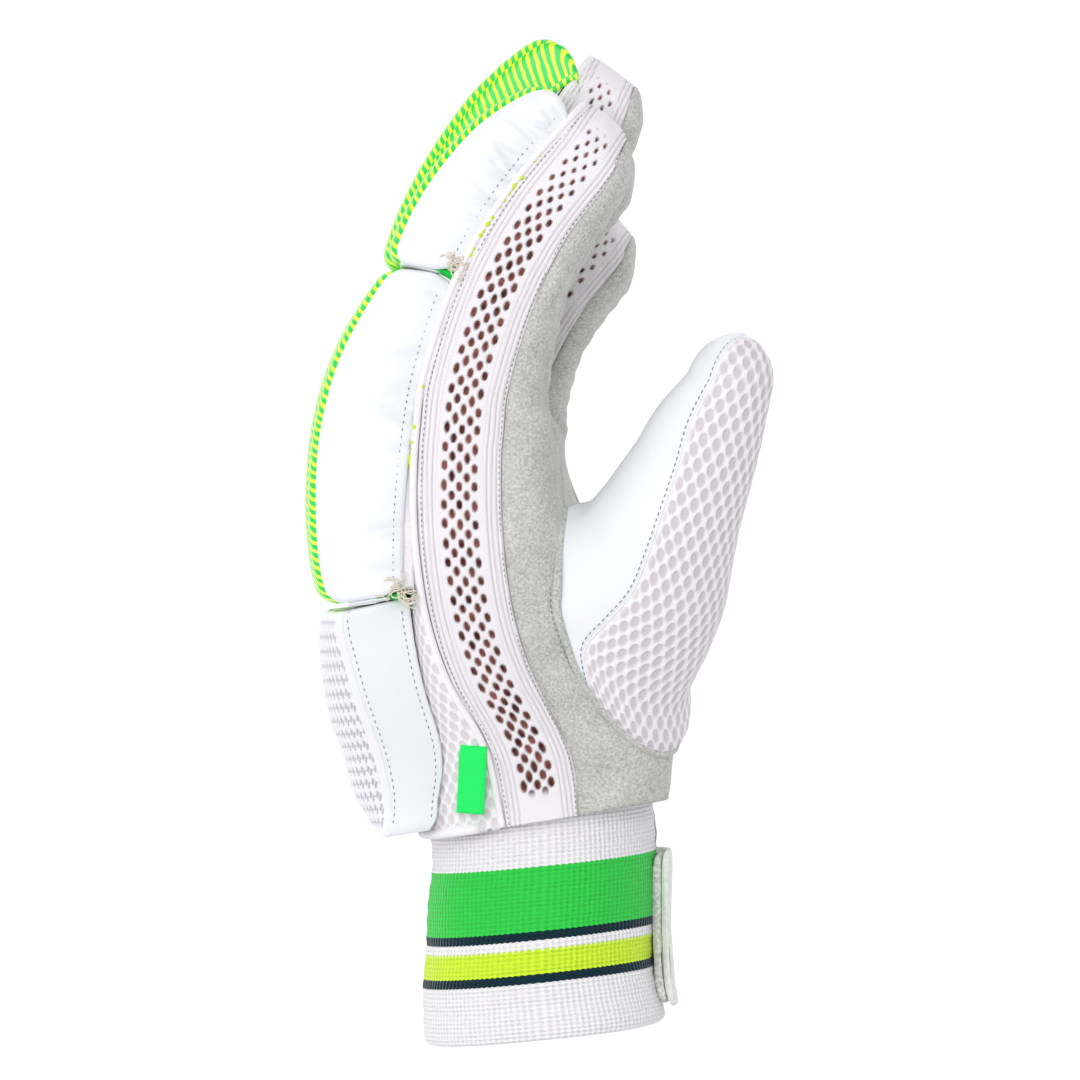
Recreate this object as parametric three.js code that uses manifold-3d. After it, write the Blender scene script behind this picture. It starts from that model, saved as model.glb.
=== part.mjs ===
import * as THREE from "three";
import Module from "manifold-3d";
import { mergeVertices } from "three/addons/utils/BufferGeometryUtils.js";

// A left-hand cricket batting glove, lying on its little-finger side.
// +X points out of the palm, +Y along the hand to the fingertips, and +Z up, to the index finger.
// A place on the hand is given by the distance along its back from the cuff, the depth from the
// back of the glove towards the palm, and the height Z.

const wasm = await Module();
wasm.setup();

// Driving dimensions, in millimetres and degrees.
const HAND_LENGTH = 208; // along the back of the index finger, from the cuff to the fingertip
const WEB_SHARE = 0.49; // share of that length at which the fingers part
const FINGER_WIDTH = 25;
const FINGER_GAP = 1.2; // between neighbouring fingers
const FINGER_DEPTH = 30; // from the back of a finger to its palm side
const FINGERTIP_ROUND = 11; // length over which a fingertip closes
const WRIST_DEPTH = 66; // of the glove where it meets the cuff
const WRIST_HEADING = -9; // from +Y towards +X

const SUEDE_WALL = 1.8;
const KNIT_WALL = 1.6;
const BACKING_WALL = 2;
const THUMB_WALL = 2;
const FACE_WALL = 1.2; // the printed and the embossed faces
const CLEARANCE = 0.3; // between pieces that are sewn together

const ROLL_HEIGHT = 22.5; // of the padded finger rolls
const FACE_CROWN = 1.5; // how far a roll's face bulges across the finger
const ROLL_SPLIT = 0.8; // between two rolls
const BLOCK_HEIGHT = 22.5; // of the padded block on the back of the hand
const BLOCK_SHARE = 0.9; // of the hand's width that the block covers

const HOLE_PITCH = 4; // between rows of knit, which have holes in turn
const HOLE_COLUMNS = 3;
const HOLE_WIDTH = 1.7;
const NET_EDGE = 0.2; // share of the panel's width that is left whole on each side of the net
const PANEL_BULGE = 1.4;

const THUMB_HALF_WIDTH = 21;
const THUMB_HALF_DEPTH = 15;

const CUFF_LENGTH = 63;
const CUFF_WALL = 2.6;
const CUFF_HALF_HEIGHT = 29;
const CUFF_TUCK = 6; // how far the cuff reaches into the glove
const STRAP_WIDTH = 42; // along the hand
const STRAP_WALL = 2;
const LOOP_WALL = 2.2;
const STRAP_TURNS = { from: -90, to: 15 }; // degrees about the cuff, 0 being the palm side
const STRAP_FROM = 0.045; // where the strap starts, as a share of the cuff's length
const STRAP_INSET = 0.01; // how much narrower its inner layer is at each edge, as such a share
const CUFF_STEP = 15; // degrees between the facets of the cuff and its strap

const TAG_WIDTH = 6.4;
const TAG_LENGTH = 18;
const TAG_WALL = 1.2;
const TAG_SEAT = { at: 0.078, across: 0.86 }; // on the backing: a share of HAND_LENGTH, and across
const TAG_OFFSET = new THREE.Vector3(5.7, -5.6, 2.6); // from its seat to its middle
const TAG_LEAN = new THREE.Euler(0, -0.5, -0.06); // radians

const HAND_WIDTH = 4 * FINGER_WIDTH + 3 * FINGER_GAP;
const HAND_MIDDLE = HAND_WIDTH / 2;
const WEB = WEB_SHARE * HAND_LENGTH;

// The back of the hand bends the same way under all four fingers, up to the web.
// at and spread are shares of HAND_LENGTH, bend is in degrees.
const HAND_BENDS = [
  { at: 0.216, spread: 0.207, bend: 8 },
  { at: 0.4, spread: 0.22, bend: 8.5 },
];

// One row for each finger, from the floor up. length, at and spread are shares of HAND_LENGTH,
// lift is how far its knuckle stands towards the palm, as a share of FINGER_DEPTH, and
// depth and pad scale the finger's depth and the height of its two rolls, which start at first,
// meet at split and leave the last part of the tip bare, as a share of FINGERTIP_ROUND.
const FINGERS = [
  {
    name: "little", length: 0.888, lift: 0.28, depth: 0.96, pad: 0.95, split: 0.63, first: 0.293, bare: 0.5,
    bends: [
      { at: 0.56, spread: 0.14, bend: 17 },
      { at: 0.68, spread: 0.16, bend: 15 },
      { at: 0.81, spread: 0.12, bend: 9 },
    ],
  },
  {
    name: "ring", length: 0.985, lift: -0.01, depth: 0.95, pad: 1.0, split: 0.69, first: 0.293, bare: 0.5,
    bends: [
      { at: 0.555, spread: 0.14, bend: 11.5 },
      { at: 0.71, spread: 0.2, bend: 17 },
      { at: 0.86, spread: 0.14, bend: 9 },
    ],
  },
  {
    name: "middle", length: 1.044, lift: 0, depth: 1.03, pad: 1.07, split: 0.704, first: 0.293, bare: 0.28,
    bends: [
      { at: 0.555, spread: 0.12, bend: 9 },
      { at: 0.725, spread: 0.21, bend: 13 },
      { at: 0.9, spread: 0.16, bend: 5.5 },
    ],
  },
  {
    name: "index", length: 0.981, lift: 0, depth: 1.0, pad: 1.0, split: 0.704, first: 0.293, bare: 0.4,
    bends: [
      { at: 0.555, spread: 0.12, bend: 9.5 },
      { at: 0.71, spread: 0.21, bend: 17 },
      { at: 0.85, spread: 0.14, bend: 8.5 },
    ],
  },
];

// Sections of the hand between the cuff and the web. at is a share of HAND_LENGTH, width of
// HAND_WIDTH, and the rest of WRIST_DEPTH: how deep the backing is in its middle and at its
// edges, where the knit panels meet the palm, and how deep the palm is on the index and on the little side.
const HAND_SECTIONS = [
  { at: -0.04, width: 0.62, back: -0.06, backing: 0.27, seam: 0.57, palmIndex: 0.93, palmLittle: 0.91 },
  { at: 0.02, width: 0.64, back: -0.08, backing: 0.265, seam: 0.59, palmIndex: 0.99, palmLittle: 0.97 },
  { at: 0.06, width: 0.68, back: -0.03, backing: 0.26, seam: 0.585, palmIndex: 1.03, palmLittle: 0.97 },
  { at: 0.1, width: 0.73, back: -0.005, backing: 0.235, seam: 0.55, palmIndex: 1.03, palmLittle: 0.95 },
  { at: 0.17, width: 0.83, back: 0, backing: 0.15, seam: 0.487, palmIndex: 0.92, palmLittle: 0.92 },
  { at: 0.25, width: 0.92, back: 0, backing: 0.088, seam: 0.438, palmIndex: 0.78, palmLittle: 0.88 },
  { at: 0.32, width: 0.98, back: 0, backing: 0.055, seam: 0.408, palmIndex: 0.7, palmLittle: 0.83 },
  { at: 0.4, width: 0.995, back: 0, backing: 0.03, seam: 0.385, palmIndex: 0.65, palmLittle: 0.76 },
  { at: 0.49, width: 1.0, back: 0, backing: 0.01, seam: 0.358, palmIndex: 0.585, palmLittle: 0.62 },
];

// Sections of a finger between the web and its tip. at is a share of that length, and
// depth and seam, where the knit meets the suede, are shares of FINGER_DEPTH.
const FINGER_SECTIONS = [
  { at: 0, depth: 1.28, seam: 0.787 },
  { at: 0.2, depth: 1.06, seam: 0.75 },
  { at: 0.45, depth: 0.93, seam: 0.72 },
  { at: 0.67, depth: 0.865, seam: 0.66 },
  { at: 0.88, depth: 0.8, seam: 0.62 },
  { at: 1, depth: 0.64, seam: 0.48 },
];

// The height of a roll's side along it, as a share of ROLL_HEIGHT, between its two ends.
const LOWER_ROLL = [
  { at: 0, height: 0.85 },
  { at: 0.04, height: 0.94 },
  { at: 0.14, height: 1.02 },
  { at: 0.3, height: 1.08 },
  { at: 0.5, height: 1.1 },
  { at: 0.65, height: 1.05 },
  { at: 0.8, height: 0.95 },
  { at: 0.94, height: 0.81 },
  { at: 1, height: 0.73 },
];
const UPPER_ROLL = [
  { at: 0, height: 0.74 },
  { at: 0.08, height: 0.8 },
  { at: 0.35, height: 0.83 },
  { at: 0.65, height: 0.77 },
  { at: 0.8, height: 0.68 },
  { at: 0.92, height: 0.57 },
  { at: 1, height: 0.46 },
];

// The block on the back of the hand. at is a share of HAND_LENGTH, and middle, edge and lift,
// how far its underside stands off the backing, are shares of BLOCK_HEIGHT.
const BLOCK_SECTIONS = [
  { at: -0.01, middle: 0.7, edge: 0.68, lift: 0.22 },
  { at: 0.004, middle: 0.77, edge: 0.6, lift: 0.11 },
  { at: 0.02, middle: 0.83, edge: 0.55, lift: 0.07 },
  { at: 0.045, middle: 0.92, edge: 0.52, lift: 0.05 },
  { at: 0.078, middle: 0.965, edge: 0.53, lift: 0.03 },
  { at: 0.11, middle: 0.985, edge: 0.56, lift: 0.02 },
  { at: 0.145, middle: 1.06, edge: 0.61, lift: 0.02 },
  { at: 0.186, middle: 1.09, edge: 0.68, lift: 0.02 },
  { at: 0.226, middle: 1.1, edge: 0.74, lift: 0.02 },
  { at: 0.265, middle: 1.085, edge: 0.81, lift: 0.02 },
  { at: 0.29, middle: 1.04, edge: 0.81, lift: 0.02 },
];

// Rings of the thumb from inside the hand to where its tip rounds off. x and y are shares of
// HAND_LENGTH, z of HAND_WIDTH, width and depth of THUMB_HALF_WIDTH and THUMB_HALF_DEPTH. turn is
// the ring's heading from +Y towards +X, and slope is how far its upper side drops back.
const THUMB_RINGS = [
  { x: 0.058, y: -0.17, z: 0.7, width: 1.25, depth: 0.75, turn: 56, slope: 0.6 },
  { x: 0.08, y: -0.148, z: 0.765, width: 1.45, depth: 1.08, turn: 60, slope: 0.75 },
  { x: 0.076, y: -0.102, z: 0.79, width: 1.42, depth: 1.14, turn: 55, slope: 0.75 },
  { x: 0.098, y: -0.067, z: 0.815, width: 1.28, depth: 1.15, turn: 46, slope: 0.7 },
  { x: 0.123, y: -0.036, z: 0.84, width: 1.09, depth: 1.14, turn: 38, slope: 0.6 },
  { x: 0.139, y: 0.001, z: 0.865, width: 0.96, depth: 1.11, turn: 33, slope: 0.45 },
  { x: 0.155, y: 0.042, z: 0.885, width: 0.85, depth: 1.07, turn: 28, slope: 0.35 },
  { x: 0.172, y: 0.081, z: 0.905, width: 0.77, depth: 1.0, turn: 24, slope: 0.25 },
  { x: 0.192, y: 0.13, z: 0.925, width: 0.69, depth: 0.92, turn: 22, slope: 0.15 },
  { x: 0.218, y: 0.184, z: 0.945, width: 0.53, depth: 0.78, turn: 18, slope: 0.05 },
];
const THUMB_TIP = 13.5; // length over which its tip closes

// The cuff's outline. at runs from its lower edge to its upper one, half is half its breadth
// along X as a share of WRIST_DEPTH, and shift moves its middle along X by the same share.
const CUFF_SECTIONS = [
  { at: 0, half: 0.49, shift: 0.02 },
  { at: 0.25, half: 0.472, shift: -0.002 },
  { at: 0.55, half: 0.464, shift: 0.006 },
  { at: 0.78, half: 0.458, shift: 0.014 },
  { at: 1, half: 0.455, shift: 0.002 },
];

const radians = THREE.MathUtils.degToRad;
const mix = THREE.MathUtils.lerp;

function ease(t) {
  const c = Math.min(1, Math.max(0, t));
  return c * c * (3 - 2 * c);
}

// A column of a table at a place, on a curve through its rows.
function read(table, column, at) {
  let k = 0;
  while (k < table.length - 2 && at > table[k + 1].at) k += 1;
  const [a, b] = [table[k], table[k + 1]];
  const before = table[Math.max(0, k - 1)];
  const after = table[Math.min(table.length - 1, k + 2)];
  const span = b.at - a.at;
  const t = Math.min(1, Math.max(0, (at - a.at) / span));
  const slopeA = ((b[column] - before[column]) / (b.at - before.at)) * span;
  const slopeB = ((after[column] - a[column]) / (after.at - a.at)) * span;
  const rise = b[column] - a[column];
  return a[column] + t * (slopeA + t * (3 * rise - 2 * slopeA - slopeB + t * (slopeA + slopeB - 2 * rise)));
}

function heading(start, bends, along) {
  return bends.reduce(
    (angle, { at, spread, bend }) => angle + bend * ease((along / HAND_LENGTH - at) / spread + 0.5),
    start,
  );
}

// A line along the back of the hand, walked in short steps. It gives the point at a distance,
// the way along it and the way towards the palm.
function makeSpine(start, from, to, angleAt) {
  const STEP = 1;
  const count = Math.ceil((to - from) / STEP);
  const points = [start.clone()];
  for (let k = 0; k < count; k += 1) {
    const angle = radians(angleAt(from + (k + 0.5) * STEP));
    const step = new THREE.Vector3(Math.sin(angle), Math.cos(angle), 0).multiplyScalar(STEP);
    points.push(step.add(points[k]));
  }
  return (along) => {
    const angle = radians(angleAt(along));
    const forward = new THREE.Vector3(Math.sin(angle), Math.cos(angle), 0);
    const inward = new THREE.Vector3(Math.cos(angle), -Math.sin(angle), 0);
    const place = (along - from) / STEP;
    const k = Math.min(count - 1, Math.max(0, Math.floor(place)));
    const point = points[k].clone().lerp(points[k + 1], Math.min(1, Math.max(0, place - k)));
    const beyond = Math.min(0, along - from) + Math.max(0, along - from - count * STEP);
    return { point: point.addScaledVector(forward, beyond), forward, inward };
  };
}

const BELOW_CUFF = 0.06 * HAND_LENGTH;
const HEM = -0.02 * HAND_LENGTH; // where the palm, backing and panels end at the cuff
const spineStart = new THREE.Vector3(-0.147 * HAND_LENGTH, -0.431 * HAND_LENGTH, 0);
const handSpine = makeSpine(spineStart, -BELOW_CUFF, WEB, (s) => heading(WRIST_HEADING, HAND_BENDS, s));
const webPlace = handSpine(WEB);
const webHeading = heading(WRIST_HEADING, HAND_BENDS, WEB);

FINGERS.forEach((finger, k) => {
  finger.z = FINGER_WIDTH / 2 + k * (FINGER_WIDTH + FINGER_GAP);
  finger.tip = finger.length * HAND_LENGTH;
  finger.rise = finger.lift * FINGER_DEPTH;
  const start = webPlace.point.clone().addScaledVector(webPlace.inward, finger.rise);
  finger.beyondWeb = makeSpine(start, WEB, finger.tip, (s) => heading(webHeading, finger.bends, s));
});

const [little, ring, middle, index] = FINGERS;

const handRead = (column, along) => read(HAND_SECTIONS, column, along / HAND_LENGTH);
const halfWidth = (along) => (handRead("width", along) * HAND_WIDTH) / 2;
const fingerRead = (finger, column, along) =>
  read(FINGER_SECTIONS, column, (along - WEB) / (finger.tip - WEB)) * FINGER_DEPTH * finger.depth;

// The finger's frame at a distance: below the web it is the hand's, moved to the knuckle.
function fingerFrame(finger, along) {
  if (along > WEB) return finger.beyondWeb(along);
  const frame = handSpine(along);
  frame.point.addScaledVector(frame.inward, finger.rise * ease(along / WEB));
  return frame;
}

// How far the knuckles stand towards the palm at a height, on a smooth curve through the fingers.
function knuckleRise(z) {
  const pitch = FINGER_WIDTH + FINGER_GAP;
  const place = Math.min(3, Math.max(0, (z - FINGER_WIDTH / 2) / pitch));
  const k = Math.min(2, Math.floor(place));
  return mix(FINGERS[k].rise, FINGERS[k + 1].rise, ease(place - k));
}

// How much of a fingertip is left at a distance: 1 before it rounds, 0 at its end.
function tipShare(finger, along) {
  const t = (along - finger.tip + FINGERTIP_ROUND) / FINGERTIP_ROUND;
  return t <= 0 ? 1 : Math.sqrt(Math.max(0, 1 - t * t));
}
const TIP_LEAST = 0.34; // share of the width that a fingertip's last section keeps
const tipWidth = (finger, along) => (FINGER_WIDTH / 2) * Math.max(TIP_LEAST, tipShare(finger, along));

// 0 on the hand, 1 on a finger that has its own section.
const WEB_BLEND = 16;
const fingerness = (along) => ease((along - WEB) / WEB_BLEND);

// Turns a depth and a height in a frame into a point.
const place = (frame, depth, z) => frame.point.clone().addScaledVector(frame.inward, depth).setZ(z);

function spread(from, to, count) {
  return Array.from({ length: count + 1 }, (_, k) => mix(from, to, k / count));
}

// A rounded quarter: 1 at t = 0 and 0 at t = 1.
const quarter = (t, power) => Math.pow(Math.max(0, 1 - Math.pow(Math.abs(t), power)), 1 / power);

// The back of the glove. across runs over one finger, from its lower side, 0, to its upper, 1.
function backPoint(finger, along, across) {
  const frame = fingerFrame(finger, along);
  const fingerZ = finger.z + (across * 2 - 1) * tipWidth(finger, along);
  const onFinger = place(frame, 0, fingerZ);
  const share = fingerness(along);
  if (share === 1) return onFinger;
  const height = finger.z + (across - 0.5) * (FINGER_WIDTH + FINGER_GAP);
  const reach = (height - HAND_MIDDLE) / (HAND_MIDDLE + FINGER_GAP / 2);
  const half = halfWidth(along);
  const hand = handSpine(along);
  const middle = handRead("back", along) * WRIST_DEPTH;
  const edge = handRead("backing", along) * WRIST_DEPTH;
  const arch = mix(edge, middle, quarter(reach, 2.8));
  const rise = knuckleRise(fingerZ) * ease(along / WEB);
  const onHand = place(hand, arch + rise, HAND_MIDDLE + reach * half);
  return onHand.lerp(onFinger, share);
}

// The palm side of the glove, over one finger. Its edges meet the knit walls at the seam.
function palmPoint(finger, along, across) {
  const side = across * 2 - 1;
  const frame = fingerFrame(finger, along);
  const tip = Math.max(TIP_LEAST, tipShare(finger, along));
  const seam = fingerRead(finger, "seam", along);
  const depth = seam + (fingerRead(finger, "depth", along) - seam) * tip;
  const turn = (Math.PI / 2) * side;
  const POWER = 2 / 2.7;
  const fingerZ = finger.z + Math.sign(side) * tipWidth(finger, along) * Math.abs(Math.sin(turn)) ** POWER;
  const onFinger = place(frame, seam + (depth - seam) * Math.max(0, Math.cos(turn)) ** POWER, fingerZ);
  const share = fingerness(along);
  if (share === 1) return onFinger;

  const hand = handSpine(along);
  const half = halfWidth(along);
  const slab = (FINGER_WIDTH + FINGER_GAP) / (HAND_WIDTH + FINGER_GAP);
  const k = FINGERS.indexOf(finger);
  const outer = k === 0 ? -1 : k === 3 ? 1 : 0; // the hand's own edge is on this side of the finger
  const palmAt = (reach) => {
    const deep = mix(handRead("palmLittle", along), handRead("palmIndex", along), ease((reach + 1) / 2));
    const hollow = 0.05 * Math.sin(Math.PI * Math.min(1, Math.max(0, along / WEB))) * (1 - reach * reach);
    return (deep - hollow) * WRIST_DEPTH;
  };
  let reach = -1 + 2 * slab * (k + across);
  let deep = palmAt(reach);
  if (outer !== 0) {
    const t = outer > 0 ? across : 1 - across; // 0 at the inner side of this finger, 1 at the hand's edge
    const edgeSeam = handRead("seam", along) * WRIST_DEPTH;
    reach = outer * (1 - 2 * slab + 2 * slab * Math.sin((Math.PI / 2) * t) ** POWER);
    deep = edgeSeam + (palmAt(reach) - edgeSeam) * Math.max(0, Math.cos((Math.PI / 2) * t)) ** POWER;
  }
  const onHand = place(hand, deep, HAND_MIDDLE + reach * half);
  return onHand.lerp(onFinger, share);
}

// Depth, from the finger's own frame, of a point made by one of the surfaces above.
const depthIn = (frame, point) => point.clone().sub(frame.point).dot(frame.inward);

// A thin wall over a patchwork of cells. Each cell names its four corners, counter-clockwise
// from outside, corners holds an outer and an inner point for each name, and every edge that
// only one cell has gets a strip between the two.
function thickPatch(corners, cells) {
  const names = [...corners.keys()];
  const index = new Map(names.map((name, k) => [name, k]));
  const positions = [];
  for (const { outer, inner } of corners.values()) {
    positions.push(...outer.toArray(), ...inner.toArray());
  }
  const triangles = [];
  const quad = (a, b, c, d) => triangles.push(a, b, c, a, c, d);
  const edges = new Set();
  for (const cell of cells) cell.forEach((name, k) => edges.add(`${name}|${cell[(k + 1) % 4]}`));
  for (const cell of cells) {
    const [a, b, c, d] = cell.map((name) => index.get(name) * 2);
    quad(a, b, c, d);
    quad(a + 1, d + 1, c + 1, b + 1);
    cell.forEach((name, k) => {
      const next = cell[(k + 1) % 4];
      if (edges.has(`${next}|${name}`)) return;
      const [from, to] = [index.get(name) * 2, index.get(next) * 2];
      quad(from, from + 1, to + 1, to);
    });
  }
  return closedGeometry(positions, triangles);
}

// A geometry whose faces point out, whichever way round its triangles were given.
function closedGeometry(positions, triangles) {
  const corner = (k) => new THREE.Vector3().fromArray(positions, triangles[k] * 3);
  let volume = 0;
  for (let k = 0; k < triangles.length; k += 3) volume += corner(k).dot(corner(k + 1).cross(corner(k + 2)));
  if (volume < 0) triangles.reverse();
  const geometry = new THREE.BufferGeometry();
  geometry.setAttribute("position", new THREE.Float32BufferAttribute(positions, 3));
  geometry.setIndex(triangles);
  return geometry;
}

// The outer point of a surface and the one that lies a wall's thickness inside it.
// inside is any point that the surface encloses there. Where along is given, the inner point
// isn't moved in that direction.
function wallPair(surface, u, v, thickness, inside, along) {
  const H = 0.01;
  const outer = surface(u, v);
  const du = surface(u + H, v).sub(surface(u - H, v));
  const dv = surface(u, Math.min(1, v + H)).sub(surface(u, Math.max(0, v - H)));
  const normal = du.cross(dv);
  if (along) normal.addScaledVector(along, -normal.dot(along));
  normal.normalize();
  if (normal.dot(outer.clone().sub(inside)) < 0) normal.negate();
  return { outer, inner: outer.clone().addScaledVector(normal, -thickness) };
}

// The same pair on one of the glove's two sides.
function fingerPair(surface, finger, along, across, thickness) {
  const straight = finger.tip - FINGERTIP_ROUND;
  const frame = fingerFrame(finger, Math.min(along, straight));
  const inside = place(frame, 0.4 * FINGER_DEPTH, finger.z);
  const way = along > straight ? undefined : frame.forward;
  if (surface === backPoint && along >= WEB) {
    const outer = surface(finger, along, across);
    return { outer, inner: outer.clone().addScaledVector(frame.inward, thickness) };
  }
  return wallPair((u, v) => surface(finger, u, v), along, across, thickness, inside, way);
}

// Distances along one finger for the rows of the palm and the backing: shared up to the web,
// close together where the fingers part, and rounding off at the tip.
const HAND_ROWS = spread(HEM, WEB, 9);
const WEB_ROWS = [0.25, 0.6, 1].map((t) => WEB + t * WEB_BLEND);
const TIP_ROWS = [0.45, 0.75, 1].map((t) => Math.sin((Math.PI / 2) * t));

function rowsFor(finger, end) {
  const straight = finger.tip - FINGERTIP_ROUND;
  const shaft = spread(WEB + WEB_BLEND, straight, 5).slice(1);
  return [...HAND_ROWS, ...WEB_ROWS, ...shaft, ...TIP_ROWS.map((t) => mix(straight, end, t))];
}

// A sheet over the whole hand that is slit between the fingers, such as the palm. short is how
// much it falls short of the fingertips.
function slitSheet(surface, thickness, columns, short) {
  const corners = new Map();
  const cells = [];
  FINGERS.forEach((finger, f) => {
    const rows = rowsFor(finger, finger.tip - short);
    const name = (i, j) => {
      if (i < HAND_ROWS.length && j === columns && f < FINGERS.length - 1) return `${i}:${f + 1}:0`;
      return `${i}:${f}:${j}`;
    };
    rows.forEach((along, i) => {
      for (let j = 0; j <= columns; j += 1) {
        if (corners.has(name(i, j))) continue;
        corners.set(name(i, j), fingerPair(surface, finger, along, j / columns, thickness));
      }
    });
    for (let i = 0; i < rows.length - 1; i += 1) {
      for (let j = 0; j < columns; j += 1) {
        cells.push([name(i, j), name(i, j + 1), name(i + 1, j + 1), name(i + 1, j)]);
      }
    }
  });
  return thickPatch(corners, cells);
}

// A strip of knit that stands between the backing and the suede. path gives, at a distance,
// the frame, the height, the way out of the wall and the depths of its two edges.
function sideStrip(path, stations, columns, thickness, isHole = () => false) {
  const corners = new Map();
  const cells = [];
  stations.forEach((station, i) => {
    const { frame, z, out, back, seam, bulge } = path(station);
    columns.forEach((column, j) => {
      const swell = bulge * (1 - (2 * column - 1) ** 2);
      const point = place(frame, mix(back, seam, column), z);
      corners.set(`${i}:${j}`, {
        outer: point.clone().addScaledVector(out, swell),
        inner: point.clone().addScaledVector(out, swell - thickness),
      });
    });
  });
  for (let i = 0; i < stations.length - 1; i += 1) {
    for (let j = 0; j < columns.length - 1; j += 1) {
      if (isHole(i, j)) continue;
      cells.push([`${i}:${j}`, `${i}:${j + 1}`, `${i + 1}:${j + 1}`, `${i + 1}:${j}`]);
    }
  }
  return thickPatch(corners, cells);
}

const UP = new THREE.Vector3(0, 0, 1);
const PALM_COLUMNS = 5; // columns of cells over each finger
const BACKING_COLUMNS = 3;

// How deep in a finger's frame a wall that stands between the backing and the palm can reach. It
// is worked out at the rows of those two sheets, and in between it follows their flat cells.
function wallReach(finger, side) {
  const across = side > 0 ? 1 : 0;
  const rows = straightRows(finger);
  const depths = (surface, along, thickness, columns) => {
    const frame = fingerFrame(finger, along);
    const [edge, next] = [across, across - side / columns].map((column) => {
      const { outer, inner } = fingerPair(surface, finger, along, column, thickness);
      return [depthIn(frame, outer), depthIn(frame, inner)];
    });
    const share = (2 * KNIT_WALL * columns) / FINGER_WIDTH;
    return edge.flatMap((depth, k) => [depth, mix(depth, next[k], share)]);
  };
  const table = rows.map((along) => ({
    along,
    back: Math.max(...depths(backPoint, along, BACKING_WALL, BACKING_COLUMNS)) + 2 * CLEARANCE,
    seam: Math.min(...depths(palmPoint, along, SUEDE_WALL, PALM_COLUMNS)) - CLEARANCE,
    z: palmPoint(finger, along, across).z,
  }));
  return (along) => {
    let k = 0;
    while (k < table.length - 2 && along > table[k + 1].along) k += 1;
    const share = (along - table[k].along) / (table[k + 1].along - table[k].along);
    return {
      back: mix(table[k].back, table[k + 1].back, share),
      seam: mix(table[k].seam, table[k + 1].seam, share),
      z: mix(table[k].z, table[k + 1].z, share),
    };
  };
}

// The knit wall on one side of a finger, -1 being below and 1 above, and for the outer fingers on
// down the edge of the hand. A station has a distance up to the fingertip's round stretch, and
// from there an angle about it.
function knitWall(finger, side, bulge) {
  const reach = wallReach(finger, side);
  const straight = finger.tip - FINGERTIP_ROUND;
  const half = FINGER_WIDTH / 2;
  return ({ along = straight, angle = 0 }) => {
    const s = along + FINGERTIP_ROUND * Math.sin(angle);
    const frame = fingerFrame(finger, s);
    const out = UP.clone().multiplyScalar((side * Math.cos(angle)) / half);
    out.addScaledVector(frame.forward, Math.sin(angle) / FINGERTIP_ROUND).normalize();
    if (angle === 0) return { frame, out, bulge, ...reach(along) };
    const z = finger.z + side * half * Math.cos(angle);
    const seam = fingerRead(finger, "seam", s) - CLEARANCE;
    return { frame, out, bulge, z, back: BACKING_WALL + CLEARANCE, seam };
  };
}

const tipAngles = [0.3, 0.6, 0.82].map((t) => ({ angle: (Math.PI / 2) * t }));
const apex = { angle: Math.PI / 2 };
const straightRows = (finger) => rowsFor(finger, finger.tip).slice(0, -TIP_ROWS.length);
const alongStations = (rows) => rows.map((along) => ({ along }));

// A closed body swept through rings of points.
function lofted(rings) {
  const size = rings[0].length;
  const positions = rings.flat().flatMap((point) => point.toArray());
  const triangles = [];
  for (let i = 0; i < rings.length - 1; i += 1) {
    for (let j = 0; j < size; j += 1) {
      const [a, b] = [i * size + j, i * size + ((j + 1) % size)];
      triangles.push(a, b, b + size, a, b + size, a + size);
    }
  }
  [0, rings.length - 1].forEach((i, end) => {
    const centre = new THREE.Vector3();
    rings[i].forEach((point) => centre.add(point));
    positions.push(...centre.divideScalar(size).toArray());
    const hub = rings.length * size + end;
    for (let j = 0; j < size; j += 1) {
      const [a, b] = [i * size + j, i * size + ((j + 1) % size)];
      triangles.push(...(end === 0 ? [hub, b, a] : [hub, a, b]));
    }
  });
  return closedGeometry(positions, triangles);
}

// The top of a padded roll: its height above the back of the glove at a place across it.
function rollTop(finger, profile, from, to, along, across) {
  const share = (along - from) / (to - from);
  const side = read(profile, "height", share) * ROLL_HEIGHT * finger.pad;
  const crown = FACE_CROWN * (1 - Math.abs(2 * across - 1) ** 2.4);
  return place(fingerFrame(finger, along), -side - crown, finger.z + (across * 2 - 1) * (FINGER_WIDTH / 2));
}

const ROLL_ACROSS = [0, 0.14, 0.5, 0.86, 1];
const ROLL_ALONG = [0, 0.05, 0.15, 0.32, 0.5, 0.68, 0.85, 0.95, 1];

// The foam roll of a finger between two distances. lean is how far the face drops back at each end.
function rollBody(finger, profile, from, to, lean) {
  const rings = ROLL_ALONG.map((t) => {
    const under = ROLL_ACROSS.map((across) => {
      const along = mix(from, to, t);
      const frame = fingerFrame(finger, along);
      const width = finger.z + (across * 2 - 1) * (FINGER_WIDTH / 2);
      const onBack = backPoint(finger, Math.min(along, finger.tip - FINGERTIP_ROUND), across);
      const depth = depthIn(frame, onBack);
      return place(frame, Math.min(depth, 0) - 3 * CLEARANCE, width);
    });
    const over = ROLL_ACROSS.map((across) => {
      const top = rollTop(finger, profile, from, to, mix(from, to, t), across);
      const frame = fingerFrame(finger, mix(from, to, t) - mix(lean.from, lean.to, t));
      const depth = depthIn(fingerFrame(finger, mix(from, to, t)), top) + FACE_WALL + CLEARANCE;
      return place(frame, depth, top.z);
    });
    return [...under, ...over.reverse()];
  });
  return lofted(rings);
}

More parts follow.
